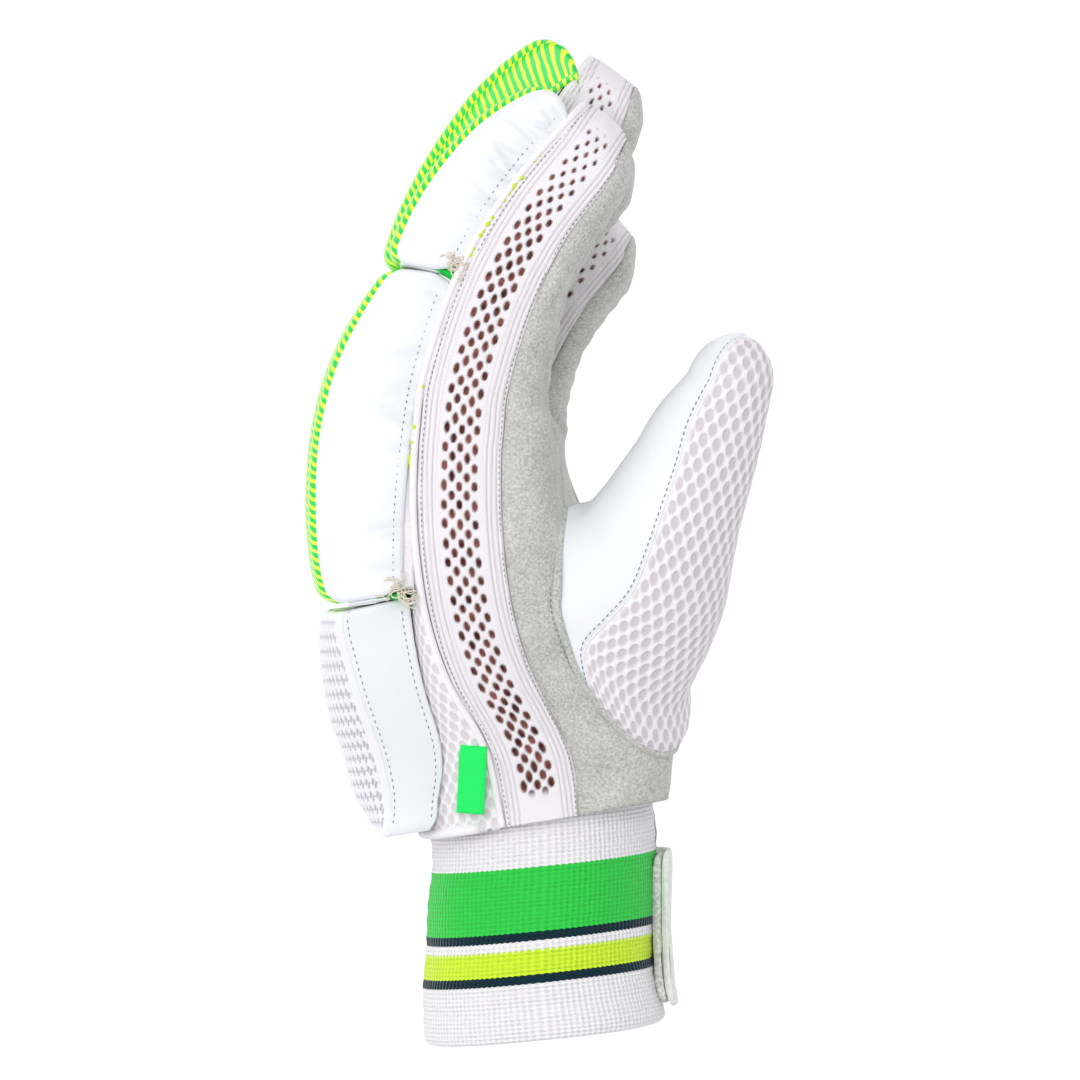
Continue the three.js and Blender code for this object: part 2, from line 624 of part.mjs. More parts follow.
// The face that covers the roll.
function rollFace(finger, profile, from, to, lean) {
  const corners = new Map();
  const cells = [];
  const last = ROLL_ALONG.length - 1;
  ROLL_ALONG.forEach((t, i) => {
    ROLL_ACROSS.forEach((across, j) => {
      const outer = rollTop(finger, profile, from, to, mix(from, to, t), across);
      const depth = depthIn(fingerFrame(finger, mix(from, to, t)), outer);
      const frame = fingerFrame(finger, mix(from, to, t) - mix(lean.from, lean.to, t));
      corners.set(`${i}:${j}`, {
        outer: place(frame, depth, outer.z),
        inner: place(frame, depth + FACE_WALL, outer.z),
      });
    });
  });
  for (let i = 0; i < last; i += 1) {
    for (let j = 0; j < ROLL_ACROSS.length - 1; j += 1) {
      cells.push([`${i}:${j}`, `${i}:${j + 1}`, `${i + 1}:${j + 1}`, `${i + 1}:${j}`]);
    }
  }
  return thickPatch(corners, cells);
}

// The block on the back of the hand. across runs over the whole hand, from -1 to 1.
const BLOCK_ACROSS = [-1, -0.9, -0.72, -0.5, -0.25, 0, 0.25, 0.5, 0.72, 0.9, 1];
const BLOCK_LEAN = 0.13; // share of its height by which its upper end leans back

function handPlace(along, across) {
  const reach = across * BLOCK_SHARE;
  const slabs = ((reach + 1) / 2) * FINGERS.length;
  const k = Math.min(FINGERS.length - 1, Math.floor(slabs));
  return backPoint(FINGERS[k], along, slabs - k);
}

function blockTop(along, across) {
  const at = along / HAND_LENGTH;
  const middle = read(BLOCK_SECTIONS, "middle", at) * BLOCK_HEIGHT;
  const edge = read(BLOCK_SECTIONS, "edge", at) * BLOCK_HEIGHT;
  return -mix(middle, edge, Math.abs(across) ** 2.2);
}

function blockLean(along, height) {
  const end = BLOCK_SECTIONS[BLOCK_SECTIONS.length - 1].at * HAND_LENGTH;
  return along - BLOCK_LEAN * height * ease(along / end);
}

function blockBody() {
  const rings = BLOCK_SECTIONS.map(({ at, lift }) => {
    const along = at * HAND_LENGTH;
    const under = BLOCK_ACROSS.map((across) => {
      const frame = handSpine(along);
      const back = handPlace(along, across);
      return place(frame, depthIn(frame, back) - CLEARANCE - lift * BLOCK_HEIGHT, back.z);
    });
    const over = BLOCK_ACROSS.map((across) => {
      const depth = blockTop(along, across) + FACE_WALL + 2 * CLEARANCE;
      return place(handSpine(blockLean(along, BLOCK_HEIGHT)), depth, handPlace(along, across).z);
    });
    return [...under, ...over.reverse()];
  });
  return lofted(rings);
}

function blockFace() {
  const corners = new Map();
  const cells = [];
  BLOCK_SECTIONS.forEach(({ at }, i) => {
    BLOCK_ACROSS.forEach((across, j) => {
      const along = at * HAND_LENGTH;
      const frame = handSpine(blockLean(along, BLOCK_HEIGHT));
      const z = handPlace(along, across).z;
      const depth = blockTop(along, across);
      corners.set(`${i}:${j}`, { outer: place(frame, depth, z), inner: place(frame, depth + FACE_WALL, z) });
      if (i === 0 || j === 0) return;
      cells.push([`${i - 1}:${j - 1}`, `${i - 1}:${j}`, `${i}:${j}`, `${i}:${j - 1}`]);
    });
  });
  return thickPatch(corners, cells);
}

// A point of the thumb. at runs from 0, inside the hand, to 1, where the tip starts to round off,
// and to 2 at its very end. turn goes about it in degrees, 90 being straight up.
const THUMB_TABLE = THUMB_RINGS.map((ring, k) => ({ ...ring, at: k / (THUMB_RINGS.length - 1) }));

function thumbPoint(at, turn, grow = 0) {
  const get = (column) => read(THUMB_TABLE, column, Math.min(1, at));
  const dome = (Math.PI / 2) * Math.max(0, at - 1);
  const way = radians(get("turn"));
  const forward = new THREE.Vector3(Math.sin(way), Math.cos(way), 0);
  const aside = new THREE.Vector3(Math.cos(way), -Math.sin(way), 0);
  const width = (get("width") * THUMB_HALF_WIDTH + grow) * Math.cos(dome);
  const depth = (get("depth") * THUMB_HALF_DEPTH + grow) * Math.cos(dome);
  const [c, s] = [Math.cos(radians(turn)), Math.sin(radians(turn))];
  return new THREE.Vector3(get("x") * HAND_LENGTH, get("y") * HAND_LENGTH, get("z") * HAND_WIDTH)
    .addScaledVector(aside, width * c)
    .addScaledVector(forward, (THUMB_TIP + grow) * Math.sin(dome) - get("slope") * depth * s)
    .add(new THREE.Vector3(0, 0, depth * s));
}

// Where the thumb's wall has its rows: up to 1 along the thumb, and on to 2 over its tip.
const THUMB_ROWS = [...spread(0, 1, 11), 1.3, 1.65, 1.97];

// A part of the thumb's wall between two turns, which are read along it, outside the hand.
function thumbSheet(fromTurn, toTurn, columns) {
  const corners = new Map();
  const cells = [];
  THUMB_ROWS.forEach((at, i) => {
    const gap = THREE.MathUtils.radToDeg(CLEARANCE / 2 / THUMB_HALF_DEPTH) * 3;
    for (let j = 0; j <= columns; j += 1) {
      const turn = mix(fromTurn(at) + gap, toTurn(at) - gap, j / columns);
      corners.set(`${i}:${j}`, { outer: thumbPoint(at, turn), inner: thumbPoint(at, turn, -THUMB_WALL) });
      if (i === 0 || j === 0) continue;
      cells.push([`${i - 1}:${j - 1}`, `${i - 1}:${j}`, `${i}:${j}`, `${i}:${j - 1}`]);
    }
  });
  return geometryOf(solid(thickPatch(corners, cells)).subtract(solid(handSpace())));
}

// The mesh starts where the suede ends, on the far side, and goes round the outer side to the
// upper one. The leather is next, and the suede covers the rest.
const LEATHER_EDGE = [
  { at: 0, turn: 80 },
  { at: 0.12, turn: 82 },
  { at: 0.25, turn: 84 },
  { at: 0.4, turn: 87 },
  { at: 0.6, turn: 95 },
  { at: 0.8, turn: 105 },
  { at: 1, turn: 118 },
  { at: 2, turn: 120 },
];
const leatherEdge = (at) => read(LEATHER_EDGE, "turn", at);
const SUEDE_FROM = 192;
const SUEDE_TO = 312;

function solid(geometry) {
  const bare = geometry.clone();
  for (const name of ["normal", "uv"]) bare.deleteAttribute(name);
  const merged = mergeVertices(bare, 1e-4);
  return new wasm.Manifold(
    new wasm.Mesh({
      numProp: 3,
      vertProperties: new Float32Array(merged.getAttribute("position").array),
      triVerts: new Uint32Array(merged.index.array),
    }),
  );
}

function geometryOf(manifold) {
  const mesh = manifold.getMesh();
  const geometry = new THREE.BufferGeometry();
  geometry.setAttribute("position", new THREE.Float32BufferAttribute(mesh.vertProperties, 3));
  geometry.setIndex(Array.from(mesh.triVerts));
  return geometry;
}

// The hollow of the thumb, which opens into the palm.
function thumbHollow() {
  const turns = spread(0, 360, 24).slice(0, -1);
  return lofted(spread(0, 0.6, 9).map((at) => turns.map((turn) => thumbPoint(at, turn, -THUMB_WALL))));
}

// The space that the hand takes up below the web, with a little clearance.
function handSpace() {
  const across = spread(0, 1, 6).slice(0, -1);
  const rings = HAND_ROWS.map((along) => {
    const side = (surface) => [
      ...FINGERS.flatMap((finger) => across.map((t) => surface(finger, along, t))),
      surface(FINGERS[3], along, 1),
    ];
    const ring = [...side(backPoint), ...side(palmPoint).reverse()];
    const middle = new THREE.Vector3();
    ring.forEach((point) => middle.addScaledVector(point, 1 / ring.length));
    return ring.map((point) => {
      const out = point.clone().sub(middle).normalize();
      return point.addScaledVector(out, 2 * CLEARANCE);
    });
  });
  return lofted(rings);
}

function palm() {
  const sheet = slitSheet(palmPoint, SUEDE_WALL, PALM_COLUMNS, CLEARANCE + KNIT_WALL / 2);
  return geometryOf(solid(sheet).subtract(solid(thumbHollow())));
}

const backing = () => slitSheet(backPoint, BACKING_WALL, BACKING_COLUMNS, CLEARANCE);

// The knit panel on the index side, with a staggered net of holes cut through its middle.
function indexPanel() {
  const rows = straightRows(index);
  const fine = rows.slice(1).flatMap((to, k) => {
    const from = rows[k];
    return spread(from, to, Math.round((to - from) / HOLE_PITCH)).slice(0, -1);
  });
  const net = (1 - 2 * NET_EDGE) / HOLE_COLUMNS;
  const hole = HOLE_WIDTH / (0.8 * FINGER_DEPTH);
  const columns = [0, NET_EDGE / 2];
  for (let k = 0; k < HOLE_COLUMNS; k += 1) {
    const middle = NET_EDGE + (k + 0.5) * net;
    columns.push(middle - hole / 2, middle + hole / 2);
  }
  columns.push(1 - NET_EDGE / 2, 1);
  const isHole = (i, j) => {
    const k = (j - 2) / 2;
    const inNet = Number.isInteger(k) && k >= 0 && k < HOLE_COLUMNS;
    return inNet && i > 3 && i < fine.length - 2 && i % 2 === k % 2;
  };
  const stations = [...alongStations([...fine, index.tip - FINGERTIP_ROUND]), ...tipAngles, apex];
  return sideStrip(knitWall(index, 1, PANEL_BULGE), stations, columns, KNIT_WALL, isHole);
}

function littlePanel() {
  const stations = [...alongStations(straightRows(little)), ...tipAngles, apex];
  return sideStrip(knitWall(little, -1, 0), stations, [0, 0.5, 1], KNIT_WALL);
}

// The stations of a wall between two fingers.
function betweenFingers(finger) {
  const rows = straightRows(finger).slice(HAND_ROWS.length);
  return [...alongStations([WEB + 2 * CLEARANCE, ...rows]), ...tipAngles];
}

function sideWall(finger, side) {
  return sideStrip(knitWall(finger, side, 0), betweenFingers(finger), [0, 1], KNIT_WALL);
}

// A wall that runs up one side of a finger, round its tip and down the other.
function gusset(finger) {
  const lower = betweenFingers(finger).map((station) => ({ ...station, side: -1 }));
  const upper = betweenFingers(finger).map((station) => ({ ...station, side: 1 })).reverse();
  const walls = { [-1]: knitWall(finger, -1, 0), 1: knitWall(finger, 1, 0) };
  const stations = [...lower, { ...apex, side: 1 }, ...upper];
  return sideStrip((station) => walls[station.side](station), stations, [0, 1], KNIT_WALL);
}

// The cuff's outer outline at a share of its length and a turn, 0 being the palm side.
function cuffPoint(at, turn, grow) {
  const ROUND = 0.86; // 1 would make its sections ellipses, and less squares them off
  const TILT = 0.1; // the palm side of the cuff is this much higher than its back, per millimetre
  const half = read(CUFF_SECTIONS, "half", at) * WRIST_DEPTH;
  const middle = -0.022 * HAND_LENGTH + read(CUFF_SECTIONS, "shift", at) * WRIST_DEPTH;
  const [c, s] = [Math.cos(radians(turn)), Math.sin(radians(turn))];
  const x = middle + (half + grow) * Math.sign(c) * Math.abs(c) ** ROUND;
  const top = spineStart.y + BELOW_CUFF + CUFF_TUCK;
  const y = top - CUFF_LENGTH * (1 - at) + TILT * (x - middle);
  const z = HAND_MIDDLE + (CUFF_HALF_HEIGHT + grow) * Math.sign(s) * Math.abs(s) ** ROUND;
  return new THREE.Vector3(x, y, z);
}

// A band of cloth round the cuff's outline, its outside set out by grow. It is closed where the
// turns go all the way round.
function cuffBand(fromAt, toAt, rows, turns, grow, thickness) {
  const corners = new Map();
  const cells = [];
  const closed = turns[turns.length - 1] - turns[0] === 360;
  const last = turns.length - 1;
  spread(fromAt, toAt, rows).forEach((at, i) => {
    turns.forEach((turn, j) => {
      const name = (row, column) => `${row}:${closed && column === last ? 0 : column}`;
      const outer = cuffPoint(at, turn, grow);
      corners.set(name(i, j), { outer, inner: cuffPoint(at, turn, grow - thickness) });
      if (i === 0 || j === 0) return;
      cells.push([name(i - 1, j - 1), name(i - 1, j), name(i, j), name(i, j - 1)]);
    });
  });
  return thickPatch(corners, cells);
}

// A layer of the strap. inset is how much narrower it is at each edge, as a share of the cuff.
function strapLayer(inset, grow, thickness) {
  const to = STRAP_FROM + STRAP_WIDTH / CUFF_LENGTH - inset;
  const steps = (STRAP_TURNS.to - STRAP_TURNS.from) / CUFF_STEP;
  const turns = spread(STRAP_TURNS.from, STRAP_TURNS.to, steps);
  return cuffBand(STRAP_FROM + inset, to, 3, turns, grow, thickness);
}

const colours = {
  leather: { color: 0xf4f4f6, roughness: 0.42 },
  print: { color: 0x7be01e, roughness: 0.4 },
  embossed: { color: 0xe9e7ee, roughness: 0.45 },
  suede: { color: 0xb4b8ae, roughness: 0.95 },
  knit: { color: 0xece8ee, roughness: 0.9 },
  mesh: { color: 0xe8e4e8, roughness: 0.85 },
  cuff: { color: 0xf0eef2, roughness: 0.9 },
  tag: { color: 0x05e458, roughness: 0.5 },
  strap: { color: 0xe6e6e2, roughness: 0.8 },
};
const materials = {};
for (const [name, look] of Object.entries(colours)) {
  materials[name] = new THREE.MeshStandardMaterial({ ...look, metalness: 0 });
}

const glove = new THREE.Group();
const add = (name, geometry, material, parent = glove) => {
  const mesh = new THREE.Mesh(geometry, materials[material]);
  mesh.name = name;
  parent.add(mesh);
  return mesh;
};

// How far the face ends of the rolls lean back towards the cuff.
const LEAN = { knuckle: 2.5, joint: 4, tip: 0 };

function addRolls(finger) {
  const [first, split] = [finger.first * HAND_LENGTH, finger.split * HAND_LENGTH];
  const end = finger.tip - finger.bare * FINGERTIP_ROUND;
  const lowerLean = { from: LEAN.knuckle, to: LEAN.joint };
  const upperLean = { from: LEAN.joint, to: LEAN.tip };
  const lower = [LOWER_ROLL, first + ROLL_SPLIT / 2, split - ROLL_SPLIT / 2, lowerLean];
  const upper = [UPPER_ROLL, split + ROLL_SPLIT / 2, end, upperLean];
  const rolls = new THREE.Group();
  add(`${finger.name}_lower_roll`, rollBody(finger, ...lower), "leather", rolls);
  add(`${finger.name}_lower_face`, rollFace(finger, ...lower), "print", rolls);
  add(`${finger.name}_upper_roll`, rollBody(finger, ...upper), "leather", rolls);
  add(`${finger.name}_upper_face`, rollFace(finger, ...upper), "print", rolls);
  glove.add(rolls);
}

add("palm", palm(), "suede");
add("backing", backing(), "mesh");
add("index_panel", indexPanel(), "knit");
add("little_panel", littlePanel(), "knit");
add("index_fourchette", sideWall(index, -1), "knit");
add("middle_fourchette", gusset(middle), "knit");
add("ring_fourchette", gusset(ring), "knit");
add("little_fourchette", sideWall(little, 1), "knit");
FINGERS.forEach(addRolls);
add("back_block", blockBody(), "leather");
add("back_block_face", blockFace(), "embossed");
add("thumb_leather", thumbSheet(leatherEdge, () => SUEDE_FROM, 5), "leather");
add("thumb_suede", thumbSheet(() => SUEDE_FROM, () => SUEDE_TO, 5), "suede");
add("thumb_mesh", thumbSheet(() => SUEDE_TO - 360, leatherEdge, 7), "mesh");
add("cuff", cuffBand(0, 1, 5, spread(0, 360, 360 / CUFF_STEP), 0, CUFF_WALL), "cuff");
const loopTop = CLEARANCE + LOOP_WALL;
const strapTop = loopTop + CLEARANCE + STRAP_WALL;
add("strap_loop", strapLayer(STRAP_INSET, loopTop, LOOP_WALL), "strap");
add("strap", strapLayer(0, strapTop, STRAP_WALL), "strap");

// The small folded tag stands on the backing beside the knit panel.
const tag = add("tag", new THREE.BoxGeometry(TAG_WIDTH, TAG_LENGTH, TAG_WALL), "tag");
const tagSeat = backPoint(index, TAG_SEAT.at * HAND_LENGTH, TAG_SEAT.across);
tag.position.copy(tagSeat).add(TAG_OFFSET);
tag.rotation.copy(TAG_LEAN);

// The origin is under the middle of the glove, on the surface that it lies on.
const bounds = new THREE.Box3().setFromObject(glove);
const centre = bounds.getCenter(new THREE.Vector3());
glove.position.set(-centre.x, -centre.y, -bounds.min.z);

export default glove;
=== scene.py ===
"""A left-hand cricket batting glove, lying on its little-finger side.

Lengths in this file are in millimetres and angles in degrees. A place on the hand is given by the
distance along its back from the cuff, the depth from the back of the glove towards the palm, and
the height, which is Z. Shapes are worked out as whole arrays and turned into metres at the end.
"""
import logging
import math
from dataclasses import dataclass, field
from enum import Enum
from functools import partial
from typing import Callable, NamedTuple

import bpy
import numpy as np
from mathutils import Matrix, Vector


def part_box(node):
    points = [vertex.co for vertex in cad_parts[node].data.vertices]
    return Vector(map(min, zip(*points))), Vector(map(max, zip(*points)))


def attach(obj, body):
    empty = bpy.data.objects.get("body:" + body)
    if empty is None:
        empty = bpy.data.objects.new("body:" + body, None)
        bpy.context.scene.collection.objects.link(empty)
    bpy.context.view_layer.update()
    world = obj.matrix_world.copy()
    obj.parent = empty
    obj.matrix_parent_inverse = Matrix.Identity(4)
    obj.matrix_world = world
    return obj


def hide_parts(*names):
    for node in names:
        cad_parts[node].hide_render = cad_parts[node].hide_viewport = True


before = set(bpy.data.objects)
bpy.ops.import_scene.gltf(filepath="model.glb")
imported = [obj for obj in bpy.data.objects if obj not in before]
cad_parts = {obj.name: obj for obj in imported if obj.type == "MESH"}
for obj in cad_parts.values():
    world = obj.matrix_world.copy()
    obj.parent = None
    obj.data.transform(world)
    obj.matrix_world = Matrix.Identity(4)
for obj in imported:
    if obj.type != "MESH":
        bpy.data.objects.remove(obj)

LOG = logging.getLogger("glove")
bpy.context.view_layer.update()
Array = np.ndarray
Tree = bpy.types.NodeTree
Socket = bpy.types.NodeSocket
TAU = 2 * math.pi
MM = 0.001

HAND_LENGTH = 208.0
WEB_SHARE = 0.49
FINGER_WIDTH = 25.0
FINGER_GAP = 1.2
FINGER_DEPTH = 30.0
FINGERTIP_ROUND = 11.0
WRIST_DEPTH = 66.0
WRIST_HEADING = -9.0
SUEDE_WALL = 1.6
KNIT_WALL = 1.2
BACKING_WALL = 1.8
THUMB_WALL = 1.8
ROLL_HEIGHT = 22.5
ROLL_SPLIT = 0.8
FACE_CROWN = 1.5
BLOCK_HEIGHT = 22.5
BLOCK_SHARE = 0.9
BLOCK_LEAN = 0.13
PANEL_BULGE = 1.4
THUMB_HALF_WIDTH = 21.0
THUMB_HALF_DEPTH = 15.0
THUMB_TIP = 13.5
CUFF_LENGTH = 63.0
CUFF_WALL = 2.6
CUFF_HALF_HEIGHT = 29.0
CUFF_TUCK = 6.0
CUFF_GIRTH = 186.0
CLEARANCE = 0.3
FRONT_WALL = 1.2
PAD_FILL = 0.9
STRAP_WIDTH = 42.0
STRAP_FROM = 0.045
STRAP_TURNS = (-90.0, 15.0)

HAND_WIDTH = 4 * FINGER_WIDTH + 3 * FINGER_GAP
HAND_MIDDLE = HAND_WIDTH / 2
FINGER_SHARE = (FINGER_WIDTH + FINGER_GAP) / (HAND_WIDTH + FINGER_GAP)
WEB = WEB_SHARE * HAND_LENGTH
WEB_BLEND = 16.0
BELOW_CUFF = 0.06 * HAND_LENGTH
HEM = -0.02 * HAND_LENGTH
PALM_POWER = 2 / 2.7
PALM_HOLLOW = 0.05
ARCH_POWER = 2.8
OVAL_POWER = 0.86
FULL_TURN = 360.0
OVAL_TURNS = np.linspace(0, TAU, 24, endpoint=False)[None, :]
HAND_BENDS = ((0.216, 0.207, 8.0), (0.4, 0.22, 8.5))


@dataclass(frozen=True)
class Table:
    """Rows of numbers whose first column is a place, read on a smooth curve through them."""

    columns: tuple[str, ...]
    rows: tuple[tuple[float, ...], ...]

    def read(self, column: str, at: Array | float) -> Array:
        """A column at some places, by cubic pieces with the slopes of the neighbouring rows.

        Args:
            column: the column's name.
            at: the places.

        Returns:
            The column's values there.
        """
        places = np.array([row[0] for row in self.rows])
        values = np.array([row[self.columns.index(column)] for row in self.rows])
        at = np.asarray(at, float)
        k = np.searchsorted(places[1:-1], at, side="left")
        before, after = np.maximum(k - 1, 0), np.minimum(k + 2, len(places) - 1)
        span = places[k + 1] - places[k]
        t = np.clip((at - places[k]) / span, 0, 1)
        slope_a = (values[k + 1] - values[before]) / (places[k + 1] - places[before]) * span
        slope_b = (values[after] - values[k]) / (places[after] - places[k]) * span
        rise = values[k + 1] - values[k]
        curve = 3 * rise - 2 * slope_a - slope_b + t * (slope_a + slope_b - 2 * rise)
        return values[k] + t * (slope_a + t * curve)


HAND_SECTIONS = Table(
    ("at", "width", "back", "backing", "seam", "palm_index", "palm_little"),
    (
        (-0.04, 0.62, -0.06, 0.27, 0.57, 0.93, 0.91),
        (0.02, 0.64, -0.08, 0.265, 0.59, 0.99, 0.97),
        (0.06, 0.68, -0.03, 0.26, 0.585, 1.03, 0.97),
        (0.1, 0.73, -0.005, 0.235, 0.55, 1.03, 0.95),
        (0.17, 0.83, 0, 0.15, 0.487, 0.92, 0.92),
        (0.25, 0.92, 0, 0.088, 0.438, 0.78, 0.88),
        (0.32, 0.98, 0, 0.055, 0.408, 0.7, 0.83),
        (0.4, 0.995, 0, 0.03, 0.385, 0.65, 0.76),
        (0.49, 1.0, 0, 0.01, 0.358, 0.585, 0.62),
    ),
)
FINGER_SECTIONS = Table(
    ("at", "depth", "seam"),
    (
        (0, 1.28, 0.787),
        (0.2, 1.06, 0.75),
        (0.45, 0.93, 0.72),
        (0.67, 0.865, 0.66),
        (0.88, 0.8, 0.62),
        (1, 0.64, 0.48),
    ),
)
LOWER_ROLL = Table(
    ("at", "height"),
    (
        (0, 0.85), (0.04, 0.94), (0.14, 1.02), (0.3, 1.08), (0.5, 1.1),
        (0.65, 1.05), (0.8, 0.95), (0.94, 0.81), (1, 0.73),
    ),
)
UPPER_ROLL = Table(
    ("at", "height"),
    ((0, 0.74), (0.08, 0.8), (0.35, 0.83), (0.65, 0.77), (0.8, 0.68), (0.92, 0.57), (1, 0.46)),
)
BLOCK_SECTIONS = Table(
    ("at", "middle", "edge", "lift"),
    (
        (-0.01, 0.7, 0.68, 0.22),
        (0.004, 0.77, 0.6, 0.11),
        (0.02, 0.83, 0.55, 0.07),
        (0.045, 0.92, 0.52, 0.05),
        (0.078, 0.965, 0.53, 0.03),
        (0.11, 0.985, 0.56, 0.02),
        (0.145, 1.06, 0.61, 0.02),
        (0.186, 1.09, 0.68, 0.02),
        (0.226, 1.1, 0.74, 0.02),
        (0.265, 1.085, 0.81, 0.02),
        (0.29, 1.04, 0.81, 0.02),
    ),
)
THUMB_ROWS = (
    (0.058, -0.17, 0.7, 1.25, 0.75, 56, 0.6),
    (0.08, -0.148, 0.765, 1.45, 1.08, 60, 0.75),
    (0.076, -0.102, 0.79, 1.42, 1.14, 55, 0.75),
    (0.098, -0.067, 0.815, 1.28, 1.15, 46, 0.7),
    (0.123, -0.036, 0.84, 1.09, 1.14, 38, 0.6),
    (0.139, 0.001, 0.865, 0.96, 1.11, 33, 0.45),
    (0.155, 0.042, 0.885, 0.85, 1.07, 28, 0.35),
    (0.172, 0.081, 0.905, 0.77, 1.0, 24, 0.25),
    (0.192, 0.13, 0.925, 0.69, 0.92, 22, 0.15),
    (0.218, 0.184, 0.945, 0.53, 0.78, 18, 0.05),
)
THUMB_RINGS = Table(
    ("at", "x", "y", "z", "width", "depth", "turn", "slope"),
    tuple((k / 9, *row) for k, row in enumerate(THUMB_ROWS)),
)
LEATHER_EDGE = Table(
    ("at", "turn"),
    ((0, 80), (0.12, 82), (0.25, 84), (0.4, 87), (0.6, 95), (0.8, 105), (1, 118), (2, 120)),
)
SUEDE_TURNS = (192.0, 312.0)
SUEDE_FROM, SUEDE_TO, MESH_FROM = (
    Table(("at", "turn"), ((0, turn), (2, turn))) for turn in (*SUEDE_TURNS, SUEDE_TURNS[1] - FULL_TURN)
)
CUFF_SECTIONS = Table(
    ("at", "half", "shift"),
    ((0, 0.49, 0.02), (0.25, 0.472, -0.002), (0.55, 0.464, 0.006), (0.78, 0.458, 0.014), (1, 0.455, 0.002)),
)


def ease(t: Array | float) -> Array:
    """A smooth step from 0 to 1: 3 t squared less 2 t cubed, held at its ends."""
    c = np.clip(t, 0, 1)
    return c * c * (3 - 2 * c)


def mix(a: Array | float, b: Array | float, t: Array | float) -> Array:
    """The value a share t of the way from a to b."""
    return a + (b - a) * t


def unit(v: Array) -> Array:
    """Vectors of length one along the last axis."""
    return v / np.maximum(np.linalg.norm(v, axis=-1, keepdims=True), 1e-9)


def signed_power(v: Array, power: float) -> Array:
    """A power of the size of v, with the sign of v: it squares off a circle's sine and cosine."""
    return np.sign(v) * np.abs(v) ** power


def arch(reach: Array | float) -> Array:
    """The height of a rounded arch, 1 in its middle and 0 at reaches of -1 and 1."""
    return np.maximum(0, 1 - np.abs(reach) ** ARCH_POWER) ** (1 / ARCH_POWER)


def smoothed(values: Array) -> Array:
    """The running mean of 13 values, with the end values repeated."""
    return np.convolve(np.pad(values, 6, mode="edge"), np.ones(13) / 13, mode="valid")


def rounded_off(along: Array, ends: tuple[float, float], radius: float) -> Array:
    """How much a rounded end takes off: a quarter circle's drop, and nothing past its radius.

    Args:
        along: distances along a piece.
        ends: the distances at which it starts and ends.
        radius: the quarter circle's radius.

    Returns:
        The drop at each distance.
    """
    x = np.clip(np.minimum(along - ends[0], ends[1] - along), 0, radius)
    return radius - np.sqrt(radius**2 - (radius - x) ** 2)


def crowded(ends: tuple[float, float], reach: float, count: int, close: int) -> Array:
    """Distances between two ends, even in the middle and crowded by a cosine at both ends.

    Args:
        ends: the distances at which a piece starts and ends.
        reach: the length over which they crowd.
        count: how many there are in the middle.
        close: one more than how many crowd at each end.

    Returns:
        The distances, in rising order.
    """
    first, last = ends
    crowd = reach * (1 - np.cos(TAU / 4 * np.linspace(0, 1, close)))[:-1]
    inner = np.linspace(first + reach, last - reach, count)
    return np.concatenate([first + crowd, inner, (last - crowd)[::-1]])


def ripples(u: Array, v: Array, length: float, seed: int) -> Array:
    """A soft uneven surface: seven sine waves of nearly the same length in seeded directions.

    Args:
        u: distances one way.
        v: distances the other way.
        length: the mean wavelength.
        seed: picks the directions and phases.

    Returns:
        Heights of about -1 to 1.
    """
    rng = np.random.default_rng(seed)
    total = np.zeros(np.broadcast(u, v).shape)
    waves = zip(rng.uniform(0, TAU, 7), rng.uniform(0, TAU, 7), rng.uniform(0.7, 1.5, 7))
    for angle, phase, stretch in waves:
        total += np.sin((u * math.cos(angle) + v * math.sin(angle)) * TAU / (length * stretch) + phase)
    return total / 3.2


class Frame(NamedTuple):
    """A point on a line in the XY plane, the way along it and the way towards the palm."""

    point: Array
    forward: Array
    inward: Array


def place(spot: Frame, depth: Array | float, z: Array | float) -> Array:
    """The points at a depth and a height in a frame.

    Args:
        spot: the frame.
        depth: the depth towards the palm.
        z: the height.

    Returns:
        The points.
    """
    flat = spot.point + spot.inward * np.asarray(depth, float)[..., None]
    z = np.broadcast_to(np.asarray(z, float), flat.shape[:-1])
    return np.concatenate([flat, z[..., None]], axis=-1)


def depth_in(spot: Frame, points: Array) -> Array:
    """The depth of points in a frame."""
    return np.sum((points[..., :2] - spot.point) * spot.inward, axis=-1)


class Spine:
    """A line along the back of the hand, walked in steps of one millimetre."""

    def __init__(self, start: Array, first: float, last: float, angle_at: Callable[[Array], Array]) -> None:
        """Walks the line.

        Args:
            start: its first point.
            first: the distance at that point.
            last: the distance at its end.
            angle_at: the heading in degrees, from +Y towards +X, at some distances.
        """
        count = math.ceil(last - first)
        angles = np.radians(angle_at(first + np.arange(count) + 0.5))
        steps = np.stack([np.sin(angles), np.cos(angles)], axis=-1)
        self.first, self.count, self.angle_at = first, count, angle_at
        self.points = np.vstack([start, start + np.cumsum(steps, axis=0)])

    def at(self, along: Array | float) -> Frame:
        """The frames at some distances, going straight on past both ends.

        Args:
            along: the distances.

        Returns:
            The frames.
        """
        along = np.asarray(along, float)
        angle = np.radians(self.angle_at(along))
        forward = np.stack([np.sin(angle), np.cos(angle)], axis=-1)
        inward = np.stack([np.cos(angle), -np.sin(angle)], axis=-1)
        reach = along - self.first
        k = np.clip(np.floor(reach).astype(int), 0, self.count - 1)
        share = np.clip(reach - k, 0, 1)[..., None]
        beyond = np.minimum(0, reach) + np.maximum(0, reach - self.count)
        point = mix(self.points[k], self.points[k + 1], share) + forward * beyond[..., None]
        return Frame(point, forward, inward)


def heading(start: float, bends: tuple[tuple[float, float, float], ...], along: Array) -> Array:
    """The heading after smooth bends, each with its place, its spread and its angle.

    Args:
        start: the heading before them.
        bends: the bends.
        along: distances.

    Returns:
        The headings in degrees.
    """
    angle = np.full(np.shape(along), start, float)
    for at, spread, bend in bends:
        angle = angle + bend * ease((along / HAND_LENGTH - at) / spread + 0.5)
    return angle


